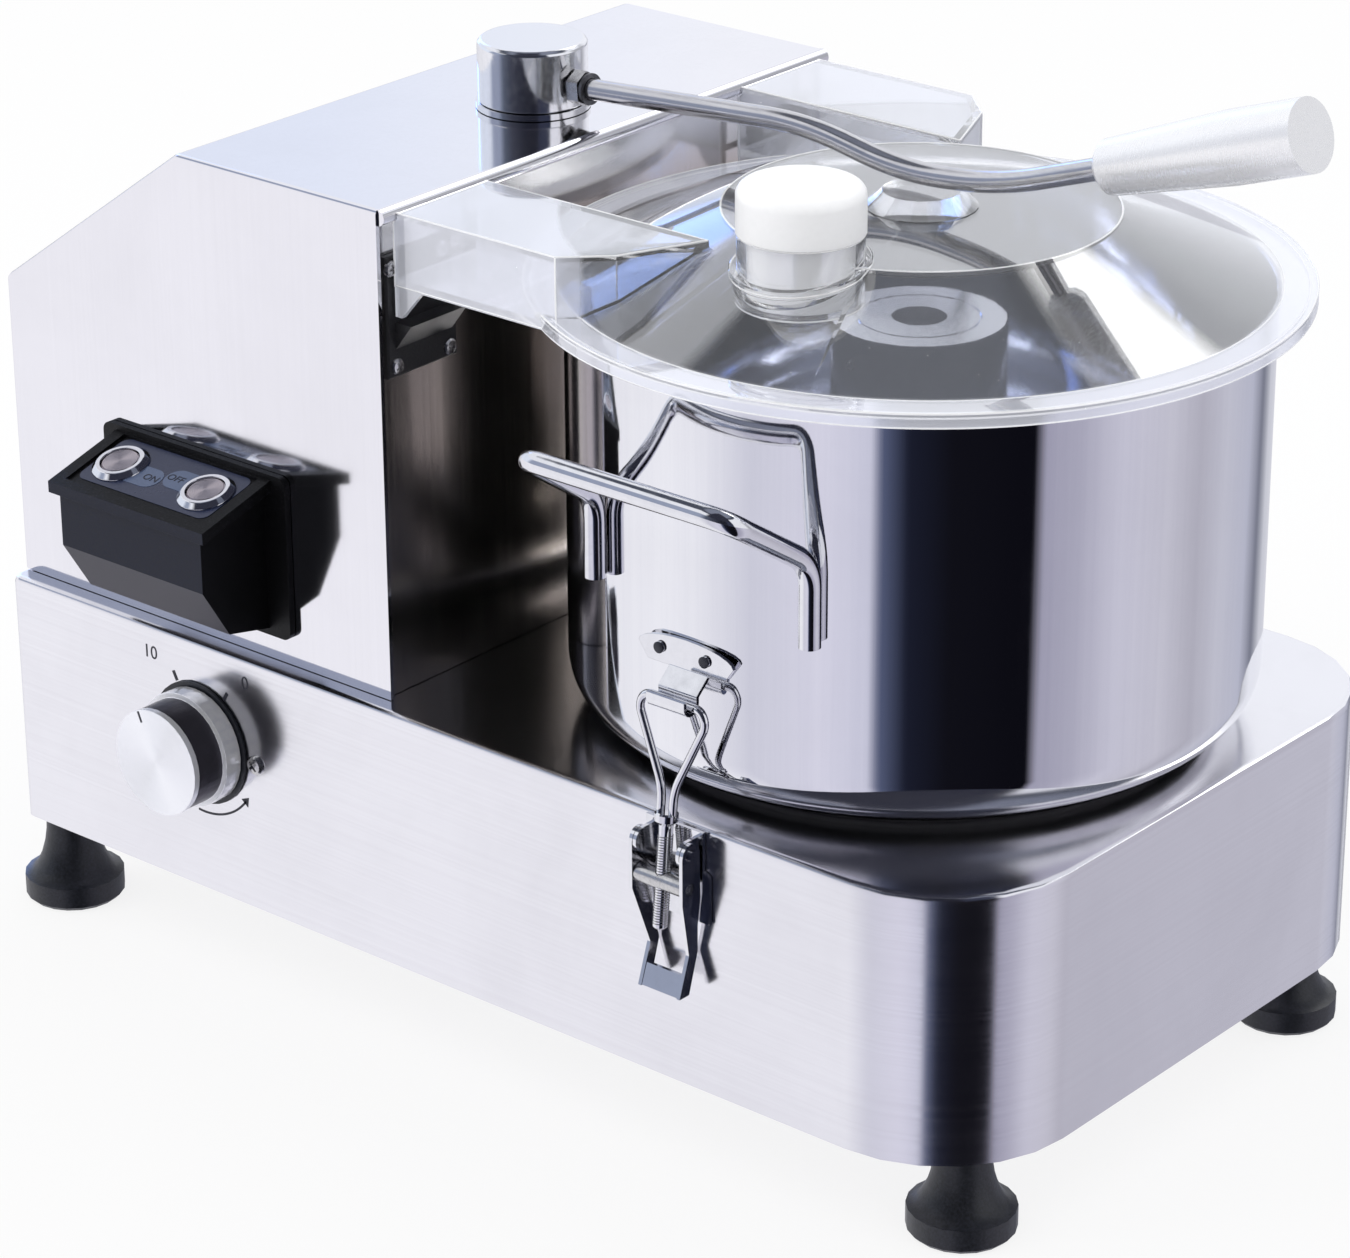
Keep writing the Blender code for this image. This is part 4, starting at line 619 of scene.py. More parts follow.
def bentBar(points, look):  # round bar through the points, with its corners bent
    path = [Vector(points[0])]
    for before, corner, after in zip(points, points[1:], points[2:]):
        corner = Vector(corner)
        back, on = Vector(before) - corner, Vector(after) - corner
        reach = min(look["bend"], back.length / 2, on.length / 2)
        start, end = corner + back.normalized() * reach, corner + on.normalized() * reach
        for step in range(look["steps"] + 1):
            share = step / look["steps"]
            path.append(start.lerp(corner, share).lerp(corner.lerp(end, share), share))
    path.append(Vector(points[-1]))
    curve = bpy.data.curves.new("bar", "CURVE")
    curve.dimensions = "3D"
    curve.bevel_depth = look["radius"]
    curve.bevel_resolution = look["sides"]
    curve.use_fill_caps = True
    spline = curve.splines.new("POLY")
    spline.points.add(len(path) - 1)
    for point, place in zip(spline.points, path):
        point.co = (*place, 1)
    holder = bpy.data.objects.new("bar", curve)
    bpy.context.scene.collection.objects.link(holder)
    shape = evaluated(holder)
    bpy.data.objects.remove(holder)
    bmesh.ops.remove_doubles(shape, verts=shape.verts, dist=weld)
    bmesh.ops.recalc_face_normals(shape, faces=shape.faces)
    return shape


def skin(node, shape, crease=32):  # a finer shape that stands for a node
    piece = addPiece(node + "_skin", shape, finishOf[node], bodyOf[node], crease,
                     weighted=False)
    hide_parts(node)


socketScrewLook = {"head": 0.0034, "rise": 0.0016, "steps": 20, "x": -0.0517,
                   "places": [(0.1308, 0.2977), (0.1002, 0.2973), (0.1025, 0.3395),
                              (0.1330, 0.3390)]}
for side, way in (("near", -1), ("far", 1)):
    heads = [crossScrew({**socketScrewLook, "spin": 0.5 + 0.9 * index},
                        (socketScrewLook["x"], way * y, z), (0, math.pi / 2, 0))
             for index, (y, z) in enumerate(socketScrewLook["places"])]
    addPiece("socket_screws_" + side, gather(heads), steels["boltSteel"], "machine")

dialScrewLook = {"head": 0.0043, "rise": 0.0022, "steps": 24, "spin": 0.7}
addPiece("dial_screw", crossScrew(dialScrewLook, (-0.12305, -0.1490, 0.108),
                                  (math.pi / 2, 0, 0)), steels["boltSteel"], "machine")
print("screws set")


# Dial: two ticks, two plain numbers and the arrow that shows which way the speed falls

def flatText(words, size, depth):
    curve = bpy.data.curves.new("words", "FONT")
    curve.body = words
    curve.size = size
    curve.extrude = depth
    curve.align_x = "CENTER"
    curve.align_y = "CENTER"
    holder = bpy.data.objects.new("words", curve)
    bpy.context.scene.collection.objects.link(holder)
    shape = evaluated(holder)
    bpy.data.objects.remove(holder)
    bmesh.ops.remove_doubles(shape, verts=shape.verts, dist=flush)
    return shape


dialLook = {"wall": -0.14905, "depth": 0.00012, "tick": (0.0017, 0.0046), "tickRadius": 0.0302,
            "tickAngles": (27, -32), "number": 0.0085,
            "numbers": (("10", -0.1838, 0.1425), ("0", -0.1275, 0.1440)), "arrowRadius": 0.0325,
            "arrowWidth": 0.0010, "arrowFrom": -96, "arrowTo": -38, "arrowSteps": 16,
            "head": 0.0055}


def onWall(shape, x, z, turn=0.0):
    spun = Matrix.Rotation(turn, 4, "Z")
    stand = Matrix.Rotation(math.pi / 2, 4, "X")
    shape.transform(Matrix.Translation((x, dialLook["wall"], z)) @ stand @ spun)
    return shape


def dialTick(look, degrees):
    turn = math.radians(degrees)
    return onWall(flatBar(*look["tick"], look["depth"]),
                  knobAxis[0] - look["tickRadius"] * math.sin(turn),
                  knobAxis[2] + look["tickRadius"] * math.cos(turn), turn)


def arrowBand(look):
    first, last = math.radians(look["arrowFrom"]), math.radians(look["arrowTo"])
    half, rise = look["arrowWidth"] / 2, look["depth"] / 2
    band = bmesh.new()
    corners = [band.verts.new(((look["arrowRadius"] + out) * math.cos(first),
                               (look["arrowRadius"] + out) * math.sin(first), up))
               for out, up in ((-half, -rise), (half, -rise), (half, rise), (-half, rise))]
    start = band.faces.new(corners)
    bmesh.ops.spin(band, geom=[start, *start.edges, *start.verts], cent=(0, 0, 0),
                   axis=(0, 0, 1), angle=last - first, steps=look["arrowSteps"])
    bmesh.ops.recalc_face_normals(band, faces=band.faces)
    return onWall(band, knobAxis[0], knobAxis[2])


def arrowHead(look):
    last, half = math.radians(look["arrowTo"]), look["head"] / 2
    head = bmesh.new()
    bmesh.ops.create_cone(head, segments=3, cap_ends=True, radius1=half, radius2=half,
                          depth=look["depth"])
    bmesh.ops.rotate(head, verts=head.verts, matrix=Matrix.Rotation(last, 3, "Z"))
    bmesh.ops.translate(head, verts=head.verts, vec=(look["arrowRadius"] * math.cos(last),
                                                     look["arrowRadius"] * math.sin(last), 0))
    return onWall(head, knobAxis[0], knobAxis[2])


marks = [dialTick(dialLook, degrees) for degrees in dialLook["tickAngles"]]
marks += [onWall(flatText(words, dialLook["number"], dialLook["depth"] / 2), x, z)
          for words, x, z in dialLook["numbers"]]
marks += [arrowBand(dialLook), arrowHead(dialLook)]
addPiece("dial_marks", gather(marks), plastics["ink"], "machine",
         weighted=False)

pointerLook = {"width": 0.0012, "length": 0.0050, "depth": 0.00012, "radius": 0.0205,
               "angle": 23, "face": -0.17580}


def pointerBar(look):
    angle = math.radians(look["angle"])
    pointer = flatBar(look["width"], look["length"], look["depth"])
    pointer.transform(Matrix.Translation((knobAxis[0] - look["radius"] * math.sin(angle),
                                          look["face"],
                                          knobAxis[2] + look["radius"] * math.cos(angle)))
                      @ Matrix.Rotation(math.pi / 2, 4, "X") @ Matrix.Rotation(angle, 4, "Z"))
    return pointer


addPiece("knob_pointer", pointerBar(pointerLook), plastics["ink"], "speed_knob")
print("dial marked")


# Label plate in the tray of the control box, with ON and OFF beside the two buttons

trayLook = {"centre": (-0.15825, -0.16, 0.2312), "half": (0.0375, 0.0155), "corner": 0.0045,
            "sheet": 0.0003, "lift": 0.00025, "hole": 0.0113, "out": 0.0006, "button": 0.025,
            "drill": 0.004, "steps": 48}


def onTray(shape, x, out, lift):
    place = Matrix.Translation(trayLook["centre"]) @ Matrix.Rotation(tilt, 4, "X")
    shape.transform(place @ Matrix.Translation((x, out, lift)))
    return shape


def roundedPlate(halfX, halfY, corner, sheet):
    shape = flatBar(2 * halfX, 2 * halfY, sheet)
    upright = [edge for edge in shape.edges
               if abs(edge.verts[0].co.z - edge.verts[1].co.z) > sheet / 2]
    bmesh.ops.bevel(shape, geom=upright, offset=corner, segments=6, profile=0.5,
                    affect="EDGES", material=-1)
    return shape


def pierced(shape, holes, look):
    drills = []
    for x in holes:
        drill = bmesh.new()
        bmesh.ops.create_cone(drill, segments=look["steps"], cap_ends=True, radius1=look["hole"],
                              radius2=look["hole"], depth=look["drill"])
        bmesh.ops.translate(drill, verts=drill.verts, vec=(x, 0, 0))
        drills.append(("DIFFERENCE", drill))
    return carved(shape, drills)


label = pierced(roundedPlate(*trayLook["half"], trayLook["corner"], trayLook["sheet"]),
                (-trayLook["button"], trayLook["button"]), trayLook)
addPiece("button_label", onTray(label, 0, trayLook["out"], trayLook["lift"] / 2),
         plastics["labelPlastic"], "machine")
padLook = {"half": (0.0125, 0.0062), "corner": 0.00589, "sheet": 0.0003, "shift": 0.0125,
           "skew": 0.0022, "lift": 0.00028, "size": 0.0052, "wordShift": 0.0052, "ink": 0.00006}
for words, way in (("ON", -1), ("OFF", 1)):
    out = way * padLook["skew"]
    pad = pierced(roundedPlate(*padLook["half"], padLook["corner"], padLook["sheet"]),
                  (way * (trayLook["button"] - padLook["shift"]),), trayLook)
    addPiece("label_pad_" + words.lower(),
             onTray(pad, way * padLook["shift"], out, padLook["lift"]),
             plastics["lozengePlastic"], "machine")
    letters = onTray(flatText(words, padLook["size"], padLook["ink"]), way * padLook["wordShift"],
                     out, padLook["lift"] + padLook["sheet"] / 2 + padLook["ink"])
    addPiece("label_word_" + words.lower(), letters, plastics["ink"], "machine",
             weighted=False)
print("label laid")


# Bowl: one turned sheet with a tube for the spindle in the middle

bowlLook = {"axis": (bowlX, 0, 0.1582), "radius": 0.140, "sheet": 0.002, "rounding": 0.022,
            "height": 0.176, "tube": 0.0225, "tubeHeight": 0.112, "edge": 0.0005, "steps": 160,
            "arcSteps": 14}


def bowlShape(look):
    radius, sheet, edge, height = (look[key] for key in ("radius", "sheet", "edge", "height"))
    corner = (radius - look["rounding"], look["rounding"])
    bore = look["tube"] - sheet
    return turnedShape([
        (bore, 0), *arcPoints(corner, look["rounding"], -90, 0, look["arcSteps"]),
        (radius, height - edge), (radius - edge, height), (radius - sheet + edge, height),
        (radius - sheet, height - edge),
        *arcPoints(corner, look["rounding"] - sheet, 0, -90, look["arcSteps"]),
        (look["tube"], sheet), (look["tube"], look["tubeHeight"]), (bore, look["tubeHeight"]),
        (bore, 0)], look["steps"], look["axis"])


skin("bowl", bowlShape(bowlLook))

handleLook = {"radius": 0.00444, "bend": 0.010, "steps": 12, "sides": 7, "half": 0.050,
              "legHalf": 0.053, "out": 0.039, "barZ": 0.3012, "drop": 0.0635, "leg": 0.034,
              "gap": 0.0003}


def bowlHandle(look, way):
    x, y = bowlLook["axis"][:2]
    legY = math.sqrt((bowlLook["radius"] + look["radius"] + look["gap"]) ** 2
                     - look["legHalf"] ** 2)
    foot = look["barZ"] - look["drop"]
    half = [(look["legHalf"], way * legY, foot), (look["legHalf"], way * legY, foot + look["leg"]),
            (look["half"], way * (bowlLook["radius"] + look["out"]), look["barZ"])]
    whole = half + [(-side, out, z) for side, out, z in half[::-1]]
    return bentBar([(x + side, y + out, z) for side, out, z in whole], look)


for side, way in (("near", -1), ("far", 1)):
    skin("bowl_handle_" + side, bowlHandle(handleLook, way))

rodLook = {"radius": 0.0045, "bend": 0.020, "steps": 14, "sides": 7, "start": (-0.08155, 0.3767),
           "strides": ((0.13103, 0.0093), (0.04994, -0.0097), (0.04550, 0.0044)),
           "grip": (0.193643, 0.3976), "inside": 0.0197, "angle": 19.13}


def leverRod(look):
    points = [look["start"]]
    for along, up in look["strides"]:
        points.append((points[-1][0] + along, points[-1][1] + up))
    angle = math.radians(look["angle"])
    points.append((look["grip"][0] + look["inside"] * math.cos(angle),
                   look["grip"][1] + look["inside"] * math.sin(angle)))
    return bentBar([(x, 0, z) for x, z in points], look)


skin("lever_rod", leverRod(rodLook))
print("bowl and bars shaped")


# Latch loops: a bent wire with its feet in the head of a threaded shank

loopLook = {"radius": 0.00175, "bend": 0.006, "steps": 10, "sides": 5,
            "trunnion": (bowlX, 0.1579, 0.1324), "out": -0.0069, "rise": 0.0733,
            "foot": (0.0030, 0.0485), "waist": 0.0355, "half": (0.0166, 0.0055),
            "shank": 0.0029, "tip": 0.0006, "below": 0.020, "shankSteps": 36}
threadLook = {"pitch": 0.0011, "crest": 0.00034, "sink": 0.0002, "crestAt": 0.45, "rootAt": 0.9,
              "low": -0.0192, "high": 0.0185, "steps": 16}


def loopWire(look, way):
    x, y, z = look["trunnion"]
    half = [(look["foot"][0], look["rise"] - look["foot"][1]),
            (look["foot"][0], look["rise"] - look["waist"]),
            (look["half"][0], look["rise"] - look["half"][1]),
            (look["half"][0] - look["half"][1] / 2, look["rise"])]
    whole = half + [(-side, high) for side, high in half[::-1]]
    return bentBar([(x + side, way * (y + look["out"] * high / look["rise"]), z + high)
                    for side, high in whole], look)


def loopShank(look, place):
    wire, head = look["radius"], look["foot"][0] + look["radius"]
    rod, tip, below = look["shank"], look["tip"], look["below"]
    slant = math.hypot(look["out"], look["rise"])
    length = slant * (1 - look["foot"][1] / look["rise"]) + 2 * wire
    shank = turnedShape([(0, length), (head * 0.86, length), (head, length - wire * 0.4),
                         (head, length - 2 * wire), (rod, length - 3 * wire), (rod, tip - below),
                         (rod - tip, -below), (0, -below)], look["shankSteps"])
    shank.transform(place)
    return shank


def loopThread(look, place):
    core = loopLook["shank"] - look["sink"]
    thread = bmesh.new()
    profile = [thread.verts.new((core + out, 0, look["low"] + look["pitch"] * share))
               for out, share in ((0, 0), (look["sink"] + look["crest"], look["crestAt"]),
                                  (0, look["rootAt"]))]
    first = thread.faces.new(profile)
    turns = (look["high"] - look["low"]) / look["pitch"]
    bmesh.ops.spin(thread, geom=[first, *first.edges, *first.verts], cent=(0, 0, 0),
                   dvec=(0, 0, look["pitch"] / look["steps"]), axis=(0, 0, 1),
                   angle=2 * math.pi * turns, steps=int(turns * look["steps"]))
    bmesh.ops.recalc_face_normals(thread, faces=thread.faces)
    thread.transform(place)
    return thread


for side, way in (("near", -1), ("far", 1)):
    x, y, z = loopLook["trunnion"]
    lean = math.atan2(-way * loopLook["out"], loopLook["rise"])
    place = Matrix.Translation((x, way * y, z)) @ Matrix.Rotation(lean, 4, "X")
    skin("latch_loop_" + side, gather([loopWire(loopLook, way), loopShank(loopLook, place)]))
    addPiece("latch_thread_" + side, loopThread(threadLook, place), steels["boltSteel"],
             "latch_loop_" + side, crease=50, weighted=False)
print("latches threaded")


# Lid: a turned clear shell with two hollow ears, a feed tube and a slanted collar

lidLook = {"axis": (bowlX, 0, 0), "radius": 0.155, "cone": 0.142, "disc": 0.0785,
           "bottom": 0.3345, "top": 0.3375, "discTop": 0.3648, "wall": 0.003, "skirt": 0.006,
           "edge": 0.0004, "steps": 160}
earLook = {"end": -0.050751, "inner": 0.080, "outer": 0.132, "tip": 0.066749, "bend": 0.033949,
           "shoulder": 0.017, "shoulderIn": 0.016, "top": 0.3626, "low": 0.3315, "tab": 0.0155,
           "tabWidth": 0.0035, "gusset": 0.0155, "gap": 0.0003}
tubeLook = {"at": (0.110949, -0.079, 0.3755), "radius": 0.0245, "wall": 0.003, "length": 0.029,
            "collar": 0.0275, "collarHeight": 0.0035, "collarZ": 0.3620, "tilt": 8, "steps": 96,
            "edge": 0.0005}
lipLook = {"x": -0.052051, "z": 0.3615, "radius": 0.0041, "half": 0.149, "steps": 48}


def earCorners(look, way, inset=0.0):
    inner, outer = look["inner"] + inset, look["outer"] - inset
    corners = [(look["end"], inner), (look["tip"] - 2 * inset, inner),
               (look["bend"] + look["shoulder"] - inset, outer - look["shoulderIn"]),
               (look["bend"] - inset / 2, outer), (look["end"], outer)]
    return [(x, way * y) for x, y in corners]


def earShape(look, way):
    wall = lidLook["wall"]
    ear = slab(earCorners(look, way), look["low"], look["top"])
    inside = [(x - wall if x == look["end"] else x, y) for x, y in earCorners(look, way, wall)]
    hollow = slab(inside, look["low"] + wall, look["top"] - wall)
    disc = lidLook["discTop"] - wall / 2
    rim = lidLook["bottom"] + wall / 2
    under = turnedShape([(0, disc), (lidLook["disc"], disc), (lidLook["cone"], rim),
                         (lidLook["radius"] - wall / 2, rim),
                         (lidLook["radius"] - wall / 2, look["low"] - wall),
                         (0, look["low"] - wall)], lidLook["steps"], lidLook["axis"])
    return carved(ear, [("DIFFERENCE", hollow), ("DIFFERENCE", under)])


def earTabs(look, way):
    wall, gap = lidLook["wall"], look["gap"]
    top = lidLook["bottom"] + wall
    outline = [(look["end"], top), (look["end"], lidLook["bottom"] - look["tab"]),
               (look["end"] + look["tabWidth"], lidLook["bottom"] - look["tab"]),
               (look["end"] + look["gusset"], look["low"] + wall / 2),
               (look["end"] + look["gusset"], top)]
    tabs = []
    for low in (look["inner"] + gap, look["outer"] - wall + gap):
        faces = sorted((way * low, way * (low + wall - 2 * gap)))
        tabs.append(("UNION", slab(outline, *faces, upright=True)))
    return tabs


def lidShell(look):
    slope = math.atan2(look["discTop"] - look["top"], look["cone"] - look["disc"])
    shift = look["wall"] * math.tan(slope / 2)
    edge, under = look["edge"], look["discTop"] - look["wall"]
    return turnedShape([
        (0, look["discTop"]), (look["disc"], look["discTop"]), (look["cone"], look["top"]),
        (look["radius"] - edge, look["top"]), (look["radius"], look["top"] - edge),
        (look["radius"], look["top"] - look["skirt"]),
        (look["radius"] - look["wall"], look["top"] - look["skirt"]),
        (look["radius"] - look["wall"], look["bottom"]), (look["cone"] - shift, look["bottom"]),
        (look["disc"] - shift, under), (0, under)], look["steps"], look["axis"])


def tubeJobs(look):
    inner, edge, steps = look["radius"] - look["wall"], look["edge"], look["steps"]
    middle = inner + look["wall"] / 2
    drill = turnedShape([(0, 0), (middle, 0), (middle, -2 * look["length"]),
                         (0, -2 * look["length"])], steps, look["at"])
    tube = turnedShape([(inner, -edge), (inner + edge, 0), (look["radius"] - edge, 0),
                        (look["radius"], -edge), (look["radius"], -look["length"]),
                        (inner, -look["length"]), (inner, -edge)], steps, look["at"])
    half = look["collarHeight"] / 2
    collar = turnedShape([(middle, half), (look["collar"] - edge, half),
                          (look["collar"], half - edge), (look["collar"], edge - half),
                          (look["collar"] - edge, -half), (middle, -half), (middle, half)], steps,
                         (*look["at"][:2], look["collarZ"]), (math.radians(look["tilt"]), 0, 0))
    return [("DIFFERENCE", drill), ("UNION", tube), ("UNION", collar)]


def lipDrill(look):  # a bar across the ears' ends makes room for the housing's rolled lip
    radius, half = look["radius"], look["half"]
    return turnedShape([(0, -half), (radius, -half), (radius, half), (0, half)], look["steps"],
                       (look["x"], 0, look["z"]), (math.pi / 2, 0, 0))


lidJobs = []
for way in (-1, 1):
    lidJobs.append(("UNION", earShape(earLook, way)))
    lidJobs += earTabs(earLook, way)
lidJobs.append(("DIFFERENCE", lipDrill(lipLook)))
lidJobs += tubeJobs(tubeLook)
skin("lid", carved(lidShell(lidLook), lidJobs), crease=18)
print("lid shaped")


# Lid edges: a fine milky-white bead along each edge, a painted highlight for the light that polished
# plastic catches there

beadLook = {"radius": 0.00042, "bend": 0.0004, "steps": 2, "sides": 1, "inset": 0.0003,
            "lift": 0.0006, "ringSides": 6}


def ringBead(radius, height, at, look, turn=(0, 0, 0)):
    centre = (radius - look["inset"], height - look["inset"])
    return turnedShape(arcPoints(centre, look["radius"], 0, 360, look["ringSides"]),
                       lidLook["steps"], at, turn)


def ringBeads(look):
    lid, tube, lift = lidLook, tubeLook, look["lift"]
    rings = [(lid["disc"], lid["discTop"]), (lid["cone"], lid["top"]), (lid["radius"], lid["top"]),
             (lid["radius"], lid["top"] - lid["skirt"] + lift),
             (lid["radius"] - lid["wall"], lid["bottom"] + lift)]
    beads = [ringBead(radius, height, lid["axis"], look) for radius, height in rings]
    beads += [ringBead(tube["radius"], height, tube["at"], look)
              for height in (0, lift - tube["length"])]
    beads.append(ringBead(tube["collar"], 0, (*tube["at"][:2], tube["collarZ"]), look,
                          (math.radians(tube["tilt"]), 0, 0)))
    return beads


def earBeads(look, way):
    corners = [(max(x, earLook["end"] + look["radius"]), y)
               for x, y in earCorners(earLook, way, look["inset"])]
    top = earLook["top"] - look["inset"]
    low = earLook["low"] + look["inset"] + look["radius"]
    paths = [[(x, y, top) for x, y in corners], [(x, y, low) for x, y in corners[3:] + corners[:1]]]
    paths += [[(x, y, low), (x, y, top)] for x, y in corners[3:]]
    return [bentBar(path, look) for path in paths]


beads = ringBeads(beadLook) + earBeads(beadLook, -1) + earBeads(beadLook, 1)
addPiece("lid_edge_highlights", gather(beads), lidEdgeHighlight, "machine", weighted=False)

# painted shade: a thin black disc on the lid under its boss stands for shade there
bossShadeLook = {"radius": 0.0165, "low": 0.36484, "high": 0.36506, "steps": 64}


def bossShadeDisc(look):
    radius, low, high = look["radius"], look["low"], look["high"]
    return turnedShape([(0, high), (radius, high), (radius, low), (0, low)], look["steps"],
                       lidLook["axis"])


addPiece("boss_shade_disc", bossShadeDisc(bossShadeLook), plastics["socketPlastic"], "machine")
print("lid edges set")


# Hub set screw and mouth ring of painted shade, catch rivets and the lever's washer

setScrewLook = {"angle": -103.3, "z": 0.3048, "hub": 0.0343, "radius": 0.0022, "rim": 0.0008,
                "crown": 0.0009, "socket": 0.0003, "steps": 20}


def setScrew(look):
    bearing, radius = math.radians(look["angle"]), look["radius"]
    plug = turnedShape([(0, 0), (radius, 0), (radius, look["rim"]), (radius * 0.6, look["crown"]),
                        (radius * 0.55, look["socket"]), (0, look["socket"])], look["steps"])
    plug.transform(Matrix.Translation((bowlX + look["hub"] * math.cos(bearing),
                                       look["hub"] * math.sin(bearing), look["z"]))
                   @ Matrix.Rotation(bearing, 4, "Z") @ Matrix.Rotation(math.pi / 2, 4, "Y"))
    return plug


def flatRing(look, at=(0, 0, 0)):
    inner, outer, sheet = look["inner"], look["outer"], look["sheet"]
    return turnedShape([(inner, 0), (outer, 0), (outer, sheet), (inner, sheet), (inner, 0)],
                       look["steps"], at)


addPiece("hub_set_screw", setScrew(setScrewLook), plastics["socketPlastic"], "knives")
# painted shade: a dark ring in the hub's mouth stands for the shade in the hole
mouthShadeLook = {"inner": 0.0089, "outer": 0.0108, "sheet": 0.0004, "steps": 64, "z": 0.3009}
addPiece("hub_mouth_shade_ring", flatRing(mouthShadeLook, (bowlX, 0, mouthShadeLook["z"])),
         steels["spindleSteel"], "knives")

rivetLook = {"radius": 0.00235, "rise": 0.0005, "face": 0.1431, "z": 0.2212,
             "places": (0.093449, 0.115849)}
for side, way in (("near", -1), ("far", 1)):
    radius, rise = rivetLook["radius"], rivetLook["rise"]
    domes = [turnedShape([(0, -rise), (radius, -rise), (radius, 0), (radius * 0.8, rise * 0.7),
                          (radius * 0.4, rise), (0, rise)], 28,
                         (x, way * rivetLook["face"], rivetLook["z"]), (-way * math.pi / 2, 0, 0))
             for x in rivetLook["places"]]
    addPiece("catch_rivets_" + side, gather(domes), plastics["ink"], "machine")

washerLook = {"inner": 0.0047, "outer": 0.0066, "sheet": 0.0014, "steps": 40, "along": 0.0178,
              "angle": 4.06}
washer = flatRing(washerLook)
washer.transform(Matrix.Translation((rodLook["start"][0], 0, rodLook["start"][1]))
                 @ Matrix.Rotation(math.pi / 2 - math.radians(washerLook["angle"]), 4, "Y")
                 @ Matrix.Translation((0, 0, washerLook["along"])))
addPiece("lever_washer", washer, steels["spindleSteel"], "lever")
print("small fittings set")


# Floor, studio surround and lights

floorLook = {"tone": (0.86, 0.86, 0.87), "plain": (1, 1, 1), "rough": 0.9, "shadowShare": 0.16,
             "size": 6}
studioLook = {"around": [(0.0, (0.90, 0.90, 0.95)), (0.11, (0.97, 0.97, 1.02)),
                         (0.15, (0.91, 0.91, 0.97)), (0.20, (0.70, 0.70, 0.80)),
                         (0.27, (0.76, 0.75, 0.87)), (0.312, (0.66, 0.66, 0.79)),
                         (0.322, (0.10, 0.12, 0.21)), (0.345, (0.012, 0.014, 0.028)),
                         (0.385, (0.006, 0.006, 0.010)), (0.458, (0.004, 0.004, 0.007)),
                         (0.468, (0.40, 0.39, 0.50)), (0.50, (0.46, 0.45, 0.56)),
                         (0.545, (0.64, 0.63, 0.74)), (0.60, (0.62, 0.61, 0.70)),
                         (0.64, (0.50, 0.49, 0.57)), (0.68, (0.60, 0.60, 0.69)),
                         (0.73, (0.52, 0.53, 0.64)), (0.76, (0.20, 0.21, 0.27)),
                         (0.79, (0.62, 0.63, 0.70)), (1.0, (0.90, 0.90, 0.95))],
              "above": [(0.0, (0.84, 0.90, 1.02)), (0.08, (0.84, 0.90, 1.02)),
                        (0.11, (0.34, 0.385, 0.51)), (0.155, (0.34, 0.385, 0.51)),
                        (0.19, (0.10, 0.12, 0.17)), (0.24, (0.05, 0.055, 0.08)),
                        (0.32, (0.016, 0.018, 0.030)),
                        (0.385, (0.014, 0.015, 0.026)), (0.40, (0.035, 0.040, 0.070)),
                        (0.457, (0.035, 0.042, 0.075)), (0.464, (0.90, 0.91, 0.97)),
                        (0.60, (0.92, 0.93, 0.98)), (0.63, (0.45, 0.46, 0.50)),
                        (0.72, (0.45, 0.46, 0.50)), (0.76, (0.98, 1.00, 1.06)),
                        (0.86, (0.98, 1.00, 1.06)), (0.876, (0.82, 0.88, 1.02)),
                        (0.89, (0.82, 0.88, 1.02)), (0.90, (1.1, 1.6, 3.2)),
                        (0.94, (1.1, 1.6, 3.2)), (0.95, (0.84, 0.90, 1.02)),
                        (1.0, (0.84, 0.90, 1.02))]}


def straightThrough(tree, path):  # the camera's own rays, also after clear plastic
    unmirrored = maths(tree, "LESS_THAN", path.outputs["Glossy Depth"], 0.5)
    clear = maths(tree, "MULTIPLY", path.outputs["Is Transmission Ray"], unmirrored)
    return maths(tree, "MAXIMUM", path.outputs["Is Camera Ray"], clear)


def mirrored(tree, path):  # mirror rays, also after clear plastic
    after = maths(tree, "GREATER_THAN", path.outputs["Glossy Depth"], 0.5)
    clear = maths(tree, "MULTIPLY", path.outputs["Is Transmission Ray"], after)
    return maths(tree, "MAXIMUM", path.outputs["Is Glossy Ray"], clear)


def paperFloor(look):
    shape = bmesh.new()
    bmesh.ops.create_grid(shape, x_segments=2, y_segments=2, size=look["size"])
    mesh = bpy.data.meshes.new("floor")
    shape.to_mesh(mesh)
    shape.free()
    paper, tree, shader = newMaterial("floorPaper")
    shader.inputs["Base Color"].default_value = rgb(look["tone"])
    shader.inputs["Roughness"].default_value = look["rough"]
    shader.inputs["Specular IOR Level"].default_value = 0
    path = addNode(tree, "ShaderNodeLightPath")
    plain = addNode(tree, "ShaderNodeEmission", {"Color": rgb(look["plain"])})
    share = maths(tree, "MULTIPLY", straightThrough(tree, path), 1 - look["shadowShare"])
    seen = addNode(tree, "ShaderNodeMixShader", {0: share, 1: shader.outputs[0],
                                                 2: plain.outputs[0]})
    passing = addNode(tree, "ShaderNodeBsdfTransparent")  # mirrors show the studio, not the floor
    mixed = addNode(tree, "ShaderNodeMixShader", {0: mirrored(tree, path), 1: seen.outputs[0],
                                                  2: passing.outputs[0]})
    tree.links.new(mixed.outputs[0], tree.nodes["Material Output"].inputs["Surface"])
    mesh.materials.append(paper)
    sheet = bpy.data.objects.new("floor", mesh)
    bpy.context.scene.collection.objects.link(sheet)
    return sheet


floor = paperFloor(floorLook)

